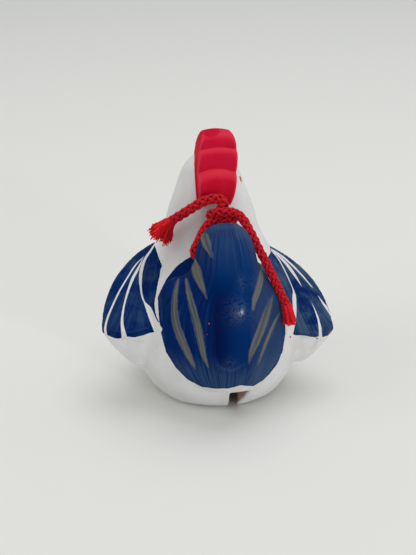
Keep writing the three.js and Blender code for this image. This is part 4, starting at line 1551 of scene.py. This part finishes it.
@dataclass
class ClayBird:
    """The fired bird: forms luted together into one smooth skin, then taken apart into painted pieces."""

    camera: PhotoCamera
    body: BodyForm = field(default_factory=BodyForm)
    slit: SlitForm = field(default_factory=SlitForm)
    comb: CombForm = field(default_factory=CombForm)
    beak: BeakForm = field(default_factory=BeakForm)
    voxel: float = 0.42
    body_share: float = 0.78
    eye: tuple[float, float] = (16.9, 61.3)
    eye_radius: float = 1.3
    core_depth: float = 2.4
    settle_reach: float = 0.7
    first_rounds: int = 6
    joint_rounds: int = 30
    last_rounds: int = 4
    least_weight: float = 0.15
    soften_rounds: int = 3
    joint_reach: float = 2.8
    joint_limit: float = 4.0
    joint_foot: tuple[float, float] = (9.0, 3.0)
    part_margin: float = 0.8
    crease: float = 50.0
    paint_reach: float = 7.0
    red_margin: float = 0.45
    ochre_margin: float = 0.5
    # Depths at which the white ground ends: below this height, and above it
    base_height: float = 12.0
    bare_depth: tuple[float, float] = (0.7, 3.6)
    ray_start: float = 0.9
    # Painted top light on faces that look up: how much, from which slope on, and over what range of it
    painted_top_light: tuple[float, float, float] = (0.8, 0.35, 0.6)

    def __post_init__(self) -> None:
        """Makes the forms that lean on the body."""
        self.tail = TailForm(self.body)
        shorter = ((12.4, 13.0, 30.0), (23.2, -12.0, 12.6))
        self.wings = {
            "left_wing": WingForm(-1.0, lift_root=2.0, lift_tip=0.8),
            "right_wing": WingForm(1.0, lift_root=-0.7, lift_tip=-3.0, reach=0.975, lower=shorter),
        }
        self.brush = Brushwork(self.camera)

    def parts(self) -> dict[str, Solid]:
        """Separately formed parts, by node name."""
        made = {"tail": self.tail.solid()}
        made.update({name: wing.solid() for name, wing in self.wings.items()})
        others = {
            "comb": self.comb, "beak": self.beak,
            "left_wattle": WattleForm(-1.0), "right_wattle": WattleForm(1.0),
        }
        made.update({name: form.solid() for name, form in others.items()})
        return made

    def skin(self, parts: dict[str, Solid]) -> Solid:
        """All parts joined to the hollow body, with the joints smoothed as with a wet finger."""
        shell = self.body.solid().combined(self.body.hollow(), "DIFFERENCE")
        for cutter in self.slit.solids():
            shell = shell.combined(cutter, "DIFFERENCE")
        outside = []
        for name, part in parts.items():
            piece = part.combined(self.core, "DIFFERENCE")
            if name == "tail":
                piece = piece.combined(self.tail.cord_hole(), "DIFFERENCE")
            outside.append(piece)
        fused = shell.joined(outside).changed("REMESH", mode="VOXEL", voxel_size=self.voxel, adaptivity=0.0)
        edges = fused.edges()
        fused.relax(np.ones(len(fused.points)), self.first_rounds, edges)
        self._settle(fused, [shell, *outside])
        weight = self._joint_weight(fused, parts)
        fused.fill_hollows(weight, self.joint_rounds, edges)
        fused.relax(np.maximum(weight, self.least_weight), self.last_rounds, edges)
        LOG.info("skin: %d points", len(fused.points))
        skin = fused.worked()
        skin.points[:, 2] = np.maximum(skin.points[:, 2], 0.0)
        return skin

    def _settle(self, fused: Solid, formed: list[Solid]) -> None:
        """Moves points onto the formed faces that the voxel grid only comes near."""
        trees = [part.tree() for part in formed]
        for i, point in enumerate(fused.points):
            found = [tree.find_nearest(point, self.settle_reach) for tree in trees]
            close = [hit for hit in found if hit[0] is not None]
            if close:
                fused.points[i] = min(close, key=lambda hit: hit[3])[0]

    def _joint_weight(self, fused: Solid, parts: dict[str, Solid]) -> np.ndarray:
        """How much each point takes part in smoothing a joint."""
        depth = np.abs(self.body.depth(fused.points))
        weight = np.zeros(len(fused.points))
        for part in parts.values():
            away = np.maximum(depth, self.distance(part, fused.points, self.joint_limit))
            weight = np.maximum(weight, np.clip(1 - away / self.joint_reach, 0, 1))
        foot, span = self.joint_foot
        return weight * np.clip((fused.points[:, 2] - foot) / span, 0, 1)

    @staticmethod
    def distance(part: Solid, points: np.ndarray, limit: float) -> np.ndarray:
        """Distance from points to a part's face, up to a limit."""
        low, high = part.points.min(axis=0) - limit, part.points.max(axis=0) + limit
        close = np.flatnonzero(np.all((points > low) & (points < high), axis=1))
        result = np.full(len(points), limit)
        tree = part.tree()
        for i in close:
            found = tree.find_nearest(points[i], limit)
            if found[0] is not None:
                result[i] = found[3]
        return result

    def build(self, material: bpy.types.Material) -> list[bpy.types.Object]:
        """Makes all clay pieces."""
        parts = self.parts()
        luted = {name: parts[name] for name in ("tail", "left_wing", "right_wing")}
        self.core = self.body.solid(grow=-self.core_depth, count=90, around=100)
        rest = self.skin(luted)
        self._remember(rest)
        made = []
        for name, slot in (("comb", Slot.RED), ("beak", Slot.OCHRE), ("left_wattle", Slot.RED),
                           ("right_wattle", Slot.RED)):
            piece = parts[name].worked().combined(self.core, "DIFFERENCE").combined(rest, "DIFFERENCE")
            made.append(self._piece(f"clay_{name}", piece, parts, material, slot, [name]))
        for name, part in luted.items():
            region = part.changed("DISPLACE", strength=self.part_margin, mid_level=0.0)
            piece = rest.combined(region, "INTERSECT")
            rest = rest.combined(region, "DIFFERENCE")
            made.append(self._piece(f"clay_{name}", piece, parts, material, Slot.NAVY, [name]))
        thinned = rest.changed("DECIMATE", ratio=self.body_share)
        halves = ["left_body_half", "right_body_half"]
        made.append(self._piece("clay_body", thinned, parts, material, Slot.WHITE, halves))
        return made

    def _piece(self, name: str, solid: Solid, parts: dict[str, Solid], material: bpy.types.Material,
               slot: Slot, nodes: list[str]) -> bpy.types.Object:
        """One painted piece on the bird's body.

        Args:
            name: piece name.
            solid: its shape in millimetres.
            parts: forms that the paint follows.
            material: painted clay.
            slot: its main finish; navy and white pieces count as cut from the whole skin.
            nodes: CAD nodes that it stands for.

        Returns:
            The piece.
        """
        mesh = solid.mesh(name, MM)
        mesh.polygons.foreach_set("use_smooth", [True] * len(mesh.polygons))
        mesh.set_sharp_from_angle(angle=math.radians(self.crease))
        self._dress(mesh, solid, parts, slot in (Slot.NAVY, Slot.WHITE))
        mesh.materials.append(material)
        made = linked(name, mesh)
        declare(made, Body.BIRD, nodes)
        LOG.info("%s: %d faces", name, len(mesh.polygons))
        return made

    def _remember(self, skin: Solid) -> None:
        """Keeps the whole skin's softened normals, by place."""
        edges, self.skin_normals = skin.edges(), skin.normals()
        for _ in range(self.soften_rounds):
            self.skin_normals += Solid(self.skin_normals, skin.faces)._pull(edges)
        self.skin_points = KDTree(len(skin.points))
        for i, point in enumerate(skin.points):
            self.skin_points.insert(point, i)
        self.skin_points.balance()

    def _covered(self, part: Solid, points: np.ndarray, asked: np.ndarray) -> np.ndarray:
        """Whether a part hides points from the camera, for the points asked about."""
        result = np.zeros(len(points), dtype=bool)
        tree, eye = part.tree(), self.camera.place()
        for i in np.flatnonzero(asked):
            ray = Vector(eye - points[i]).normalized()
            result[i] = tree.ray_cast(Vector(points[i]) + self.ray_start * ray, ray)[0] is not None
        return result

    def _dress(self, mesh: bpy.types.Mesh, solid: Solid, parts: dict[str, Solid], luted: bool) -> None:
        """Writes the paint layers onto the vertices.

        Args:
            mesh: mesh of the piece.
            solid: its shape in millimetres.
            parts: forms that the paint follows.
            luted: whether the piece is cut from the whole skin.
        """
        points, normals = solid.points, solid.normals()
        amount, start, span = self.painted_top_light
        # Bend of the face (scuffing on edges, painted shade in creases) plus painted top light on faces
        # that look up.
        bend_and_top_light = solid.convexity(normals) + amount * np.clip((normals[:, 2] - start) / span, 0, 1)
        if not luted:
            bend_and_top_light *= np.clip(-self.body.depth(points) - 0.6, 0, 1)
        if luted:
            normals = self.skin_normals[[self.skin_points.find(point)[1] for point in points]]
        ray = self.camera.place() - points
        facing = np.sum(normals * ray, axis=1) / np.linalg.norm(ray, axis=1)
        at, reach, brush = self.camera.on_frame(points), self.paint_reach, self.brush
        near = {name: self.distance(part, points, reach) for name, part in parts.items()}
        eye = np.linalg.norm(points[:, 1:] - self.eye, axis=1)
        wattle = np.minimum(near["left_wattle"], near["right_wattle"])
        crests = {name: wing.crest() for name, wing in self.wings.items()}
        covered = {name: self._covered(parts[name], points, near[name] < reach) for name in self.wings}
        stripes, trail = brush.stripes(at, points, facing)
        low = points[:, 2] < self.base_height
        values = {
            BEND_AND_TOP_LIGHT: bend_and_top_light,
            TRAIL: trail,
            Layer.BLUE.value: brush.blue(at, points, facing, near, crests, covered),
            Layer.OLIVE.value: stripes,
            Layer.RED.value: np.maximum(self.red_margin - wattle, self.red_margin - near["comb"]),
            Layer.OCHRE.value: self.ochre_margin - near["beak"],
            Layer.BLACK.value: self.eye_radius - eye,
            Layer.BARE.value: self.body.depth(points) - np.where(low, *self.bare_depth),
            Layer.CHIP.value: brush.chipped(at, facing),
        }
        for number, name in enumerate(FEATHER_LINES):
            values[name] = brush.lines(at, points, facing, number)
        values[FLOW] = brush.flow(at, points, self.tail)
        values[GLOSS] = brush.shine(at, points, facing)
        values[POLISH] = brush.polish(at, facing)
        for name, value in values.items():
            store(mesh, name, value)


@dataclass(frozen=True)
class Pellet:
    """Loose clay ball in the hollow, rolled by hand."""

    centre: tuple[float, float, float] = (2.2, 0.0, 10.301)
    radius: float = 5.0
    lumps: float = 0.12

    def build(self, material: bpy.types.Material) -> bpy.types.Object:
        """Makes the pellet."""
        steps, around = 48, 72
        polar = np.linspace(0.02, math.pi - 0.02, steps)[:, None]
        angle = full_turn(around)[None, :]
        flat = np.sin(polar)
        way = np.stack([flat * np.cos(angle), flat * np.sin(angle), -np.cos(polar) + 0 * angle], axis=-1)
        x, y, z = np.moveaxis(way, -1, 0)
        wave = np.sin(3.1 * x + 1.0) + np.sin(4.3 * y + 0.4) + np.sin(3.7 * z + 2.0)
        radius = self.radius - self.lumps + self.lumps * wave / 3
        solid = Solid.loft(np.array(self.centre) + radius[..., None] * way)
        mesh = solid.mesh("clay_pellet", MM)
        mesh.polygons.foreach_set("use_smooth", [True] * len(mesh.polygons))
        mesh.materials.append(material)
        made = linked("clay_pellet", mesh)
        declare(made, Body.PELLET, ["rattle_pellet"])
        LOG.info("clay_pellet: radius %.1f mm", self.radius)
        return made


# Cord


class PathTree:
    """Base of the geometry trees that follow a line of edges."""

    name = "Path"
    counts: tuple[str, ...] = ()
    numbers: tuple[str, ...] = ()

    def __init__(self) -> None:
        """Makes the tree."""
        self.tree = bpy.data.node_groups.new(self.name, "GeometryNodeTree")
        self.graph = NodeGraph(self.tree)
        self.graph.sockets("INPUT", "Geometry", ["Geometry"])
        self.graph.sockets("INPUT", "Int", self.counts)
        self.graph.sockets("INPUT", "Float", self.numbers)
        self.graph.sockets("INPUT", "Material", ["Material"])
        self.graph.sockets("OUTPUT", "Geometry", ["Geometry"])
        self.given = self.tree.nodes.new("NodeGroupInput").outputs
        self.tangent = self.graph.node("GeometryNodeInputTangent").outputs[0]
        self.normal = self.graph.node("GeometryNodeInputNormal").outputs[0]
        self.side = self.graph.vector("CROSS_PRODUCT", self.tangent, self.normal)
        self.graph.put(self.tree.nodes.new("NodeGroupOutput").inputs[0], self.fill())

    def fill(self) -> bpy.types.NodeSocket:
        """Builds the tree and gives its geometry."""
        raise NotImplementedError

    def copies(self, amount: Any) -> tuple[bpy.types.NodeSocket, ...]:
        """The line as a curve, copies of it, and each copy's number."""
        line = self.graph.node("GeometryNodeMeshToCurve", {"Mesh": self.given["Geometry"]}).outputs[0]
        sockets = {"Geometry": line, "Amount": amount}
        made = self.graph.node("GeometryNodeDuplicateElements", sockets, domain="SPLINE")
        return line, made.outputs["Geometry"], made.outputs["Duplicate Index"]

    def ring(self, angle: Any, radius: Any) -> bpy.types.NodeSocket:
        """Offset at an angle about the line."""
        g = self.graph
        ahead, aside = (g.times(radius, g.math(kind, angle)) for kind in ("COSINE", "SINE"))
        return g.vector("ADD", g.scaled(self.normal, ahead), g.scaled(self.side, aside))

    def tube(self, curve: Any, radius: Any, sides: int) -> bpy.types.NodeSocket:
        """Closed round tube over a curve."""
        ring = self.graph.node("GeometryNodeCurvePrimitiveCircle", {"Resolution": sides, "Radius": radius})
        sockets = {"Curve": curve, "Profile Curve": ring.outputs["Curve"], "Fill Caps": True}
        return self.graph.node("GeometryNodeCurveToMesh", sockets).outputs[0]

    def keep(self, geometry: Any, name: str, value: Any) -> bpy.types.NodeSocket:
        """Stores a named number on points."""
        sockets = {"Geometry": geometry, "Name": name, "Value": value}
        kind = "GeometryNodeStoreNamedAttribute"
        return self.graph.node(kind, sockets, data_type="FLOAT", domain="POINT").outputs[0]

    def finished(self, geometry: Any) -> bpy.types.NodeSocket:
        """Smooth shaded real mesh in the given material."""
        smooth = self.graph.node("GeometryNodeSetShadeSmooth", {"Geometry": geometry}).outputs[0]
        real = self.graph.node("GeometryNodeRealizeInstances", {"Geometry": smooth}).outputs[0]
        sockets = {"Geometry": real, "Material": self.given["Material"]}
        return self.graph.node("GeometryNodeSetMaterial", sockets).outputs[0]

    def apply(self, name: str, line: np.ndarray, values: dict[str, Any],
              girth: Any = 1.0) -> bpy.types.Object:
        """Runs the tree over a line.

        Args:
            name: piece name.
            line: points in millimetres.
            values: tree inputs by name.
            girth: thickness along the line, as a share of the usual one.

        Returns:
            A plain mesh object.
        """
        mesh = bpy.data.meshes.new(f"{name}_line")
        mesh.from_pydata((line * MM).tolist(), [(i, i + 1) for i in range(len(line) - 1)], [])
        store(mesh, GIRTH, np.broadcast_to(girth, len(line)))
        host = linked(f"{name}_line", mesh)
        modifier = host.modifiers.new(self.name, "NODES")
        modifier.node_group = self.tree
        for item in self.tree.interface.items_tree:
            if item.item_type == "SOCKET" and item.in_out == "INPUT" and item.name in values:
                modifier[item.identifier] = values[item.name]
        host.update_tag()
        graph = bpy.context.evaluated_depsgraph_get()
        made = linked(name, bpy.data.meshes.new_from_object(host.evaluated_get(graph)))
        made.data.name = name
        host.modifiers.clear()
        bpy.data.objects.remove(host)
        bpy.data.meshes.remove(mesh)
        LOG.info("%s: %d faces", name, len(made.data.polygons))
        return made


class RoundBraid(PathTree):
    """Round braid: strands wind both ways about a core and pass over and under each other."""

    name = "RoundBraid"
    counts = ("Strands",)
    numbers = ("Lay Radius", "Strand Radius", "Core Radius", "Pitch", "Weave")
    strand_sides = 9
    core_sides = 10

    def fill(self) -> bpy.types.NodeSocket:
        """Copies the line once per strand and winds each copy; girth swells or thins the braid."""
        g, given = self.graph, self.given
        line, copies, number = self.copies(given["Strands"])
        along = g.node("GeometryNodeSplineParameter").outputs["Length"]
        turn = g.minus(g.times(g.math("MODULO", number, 2.0), 2.0), 1.0)
        pair = g.math("FLOOR", g.math("DIVIDE", number, 2.0))
        each = g.math("DIVIDE", given["Strands"], 2.0)
        wind = g.times(g.math("DIVIDE", along, given["Pitch"]), 2 * math.pi)
        angle = g.plus(g.times(wind, turn), g.times(g.math("DIVIDE", pair, each), 2 * math.pi))
        over = g.times(g.math("COSINE", g.times(wind, each)), turn)
        read = g.node("GeometryNodeInputNamedAttribute", {"Name": GIRTH}, data_type="FLOAT")
        girth = read.outputs["Attribute"]
        radius = g.times(g.plus(given["Lay Radius"], g.times(given["Weave"], over)), girth)
        # Over and under of each strand; the yarn paints shade where a strand dives under.
        marked = self.keep(copies, LIFT, over)
        sockets = {"Geometry": marked, "Offset": self.ring(angle, radius)}
        wound = g.node("GeometryNodeSetPosition", sockets).outputs[0]
        wound = g.node("GeometryNodeSetCurveRadius", {"Curve": wound, "Radius": girth}).outputs[0]
        strands = self.tube(wound, given["Strand Radius"], self.strand_sides)
        middle = g.node("GeometryNodeSetCurveRadius", {"Curve": line, "Radius": girth}).outputs[0]
        # The core is marked as lying under everything, so the yarn paints it in shade.
        core = self.tube(self.keep(middle, LIFT, -1.0), given["Core Radius"], self.core_sides)
        both = g.node("GeometryNodeJoinGeometry")
        for part in (core, strands):
            self.tree.links.new(part, both.inputs[0])
        return self.finished(both.outputs[0])


class FrayedTip(PathTree):
    """Frayed end: fibres in a few clumps that part from the end of the cord."""

    name = "FrayedTip"
    counts = ("Fibres", "Clumps")
    numbers = ("Root Radius", "Spread", "Clump Radius", "Fibre Radius", "Curl", "Uneven", "Seed")
    fibre_sides = 5

    def fill(self) -> bpy.types.NodeSocket:
        """Copies the axis once per fibre and bends each copy its own way."""
        g, given = self.graph, self.given
        _, copies, number = self.copies(given["Fibres"])
        parameter = g.node("GeometryNodeSplineParameter")
        t, along = parameter.outputs["Factor"], parameter.outputs["Length"]
        clump = g.math("MODULO", number, given["Clumps"])
        clump_angle = g.plus(g.times(g.math("DIVIDE", clump, given["Clumps"]), 2 * math.pi),
                             g.times(self._chance(clump, 3.1), 0.9))
        clump_far = g.times(given["Spread"], g.plus(0.55, g.times(self._chance(clump, 7.7), 0.45)))
        own_angle = g.times(self._chance(number, 11.3), 2 * math.pi)
        own_far = g.math("SQRT", self._chance(number, 5.9))
        root = self.ring(clump_angle, g.times(given["Root Radius"], 0.62))
        own_root = self.ring(own_angle, g.times(own_far, g.times(given["Root Radius"], 0.38)))
        root = g.vector("ADD", root, own_root)
        tip = self.ring(clump_angle, clump_far)
        tip = g.vector("ADD", tip, self.ring(own_angle, g.times(own_far, given["Clump Radius"])))
        open_share = g.math("POWER", t, 1.25)
        base = g.vector("ADD", g.scaled(root, g.minus(1.0, open_share)), g.scaled(tip, open_share))
        place = g.plus(g.times(t, 2.4), g.times(self._chance(number, 2.3), 40.0))
        sockets = {"W": place, "Scale": 1.0, "Detail": 2.0}
        noise = g.node("ShaderNodeTexNoise", sockets, noise_dimensions="1D")
        curl = g.vector("SUBTRACT", noise.outputs["Color"], (0.5, 0.5, 0.5))
        curl = g.scaled(curl, g.times(given["Curl"], t))
        short = g.times(g.times(along, -1.0), g.times(given["Uneven"], self._chance(number, 9.1)))
        offset = g.vector("ADD", g.vector("ADD", base, curl), g.scaled(self.tangent, short))
        # Lift of 0.8 to 1.7 on the fibres: the yarn paints them brighter, as painted light.
        marked = self.keep(copies, LIFT, g.plus(g.times(self._chance(number, 1.7), 0.9), 0.8))
        moved = g.node("GeometryNodeSetPosition", {"Geometry": marked, "Offset": offset}).outputs[0]
        return self.finished(self.tube(moved, given["Fibre Radius"], self.fibre_sides))

    def _chance(self, number: Any, salt: float) -> bpy.types.NodeSocket:
        """Fixed random value from 0 to 1 for a number, which also turns with the seed."""
        g = self.graph
        mixed = g.plus(number, g.plus(self.given["Seed"], salt))
        spread = g.plus(g.times(mixed, 1.618), salt)
        return g.node("ShaderNodeTexWhiteNoise", {"W": spread}, noise_dimensions="1D").outputs["Value"]


@dataclass(frozen=True)
class HangingCord:
    """Red braided cord: from its left frayed end through a half knot and the tail to its right end."""

    diameter: float = 2.9
    step: float = 0.3
    tip_step: float = 0.5
    left_end: Route = (
        (-12.7, -1.0, 52.6), (-9.6, -2.6, 55.2), (-6.3, -3.9, 57.8), (-3.5, -4.7, 59.5),
        (-0.9, -5.2, 60.1), (0.8, -5.6, 59.7), (1.4, -6.1, 58.6), (0.5, -6.2, 57.2),
    )
    knot_first: Route = (
        (0.8, -5.2, 55.8), (2.3, -4.4, 54.8), (3.9, -5.8, 53.9), (2.8, -8.2, 54.2), (0.7, -8.9, 54.8),
        (-1.4, -8.8, 54.8),
    )
    loop: Route = (
        (-3.1, -8.8, 54.1), (-5.1, -10.6, 52.5), (-6.9, -12.9, 50.3), (-8.2, -14.5, 48.2),
        (-7.7, -14.9, 46.7), (-5.6, -14.9, 46.2), (0.0, -14.9, 46.2), (5.6, -14.9, 46.2),
        (7.7, -14.9, 46.7), (8.2, -14.0, 48.4), (6.8, -11.0, 50.3), (4.4, -7.4, 51.8),
    )
    knot_second: Route = (
        (2.0, -4.9, 52.6), (-0.4, -4.0, 53.1), (-2.2, -5.0, 54.7), (-2.2, -7.2, 56.4),
        (-0.9, -8.6, 57.1), (1.0, -9.1, 57.4), (3.0, -8.9, 57.2),
    )
    right_end: Route = (
        (4.9, -9.2, 56.5), (6.3, -10.7, 55.4), (7.3, -12.9, 53.8), (8.3, -15.4, 52.0),
        (9.5, -17.6, 49.5), (11.6, -19.2, 45.3), (14.4, -19.2, 39.2), (17.4, -18.8, 32.4),
    )
    left_tip: Route = ((-12.7, -1.0, 52.6), (-14.8, 0.0, 50.1), (-17.0, 0.9, 46.4))
    right_tip: Route = ((17.4, -18.8, 32.4), (18.3, -18.9, 29.4), (19.0, -19.0, 25.9))
    swell: Route = (
        (0.0, 1.06), (0.16, 1.16), (0.24, 1.1), (0.34, 0.94), (0.56, 0.94), (0.64, 1.08), (0.72, 1.06),
        (0.8, 0.95), (0.9, 0.87), (1.0, 0.84),
    )

    def path(self) -> np.ndarray:
        """Centreline in even steps."""
        knots = np.array([*self.left_end, *self.knot_first, *self.loop, *self.knot_second, *self.right_end])
        return even_steps(centripetal(knots, 2400, False), self.step)

    def _tip(self, route: Route) -> np.ndarray:
        """Axis of a frayed end in even steps."""
        return even_steps(centripetal(np.array(route), 60, False), self.tip_step)

    def build(self, material: bpy.types.Material) -> list[bpy.types.Object]:
        """Makes the braid and its two frayed ends."""
        path = self.path()
        girth = graded(np.linspace(0, 1, len(path)), self.swell)
        cord = RoundBraid().apply("cord_braid", path, {
            "Strands": 8, "Lay Radius": 0.8 * MM, "Strand Radius": 0.5 * MM, "Core Radius": 0.66 * MM,
            "Pitch": 9.2 * MM, "Weave": 0.17 * MM, "Material": material,
        }, girth)
        frayed = FrayedTip()
        left = frayed.apply("cord_left_fray", self._tip(self.left_tip), {
            "Fibres": 420, "Clumps": 9, "Root Radius": 1.35 * MM, "Spread": 3.0 * MM,
            "Clump Radius": 1.3 * MM, "Fibre Radius": 0.14 * MM, "Curl": 2.2 * MM, "Uneven": 0.34,
            "Seed": 4.0, "Material": material,
        })
        right = frayed.apply("cord_right_fray", self._tip(self.right_tip), {
            "Fibres": 320, "Clumps": 5, "Root Radius": 1.3 * MM, "Spread": 2.1 * MM,
            "Clump Radius": 0.6 * MM, "Fibre Radius": 0.1 * MM, "Curl": 0.6 * MM, "Uneven": 0.14,
            "Seed": 9.0, "Material": material,
        })
        declare(cord, Body.BIRD, ("cord_loop", "cord_knot", "cord_left_end", "cord_right_end"))
        declare(left, Body.BIRD, ("left_frayed_tip",))
        declare(right, Body.BIRD, ("right_frayed_tip",))
        return [cord, left, right]


def main() -> None:
    """Builds the whole scene."""
    logging.basicConfig(level=logging.INFO, format="%(name)s %(message)s")
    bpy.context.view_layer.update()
    camera = PhotoCamera()
    camera.build()
    Studio().build()
    HangingCord().build(CordYarn().build())
    ClayBird(camera).build(PaintedClay().build())
    Pellet().build(BareClay().build())
    bpy.context.view_layer.update()


if __name__ == "__main__":
    main()
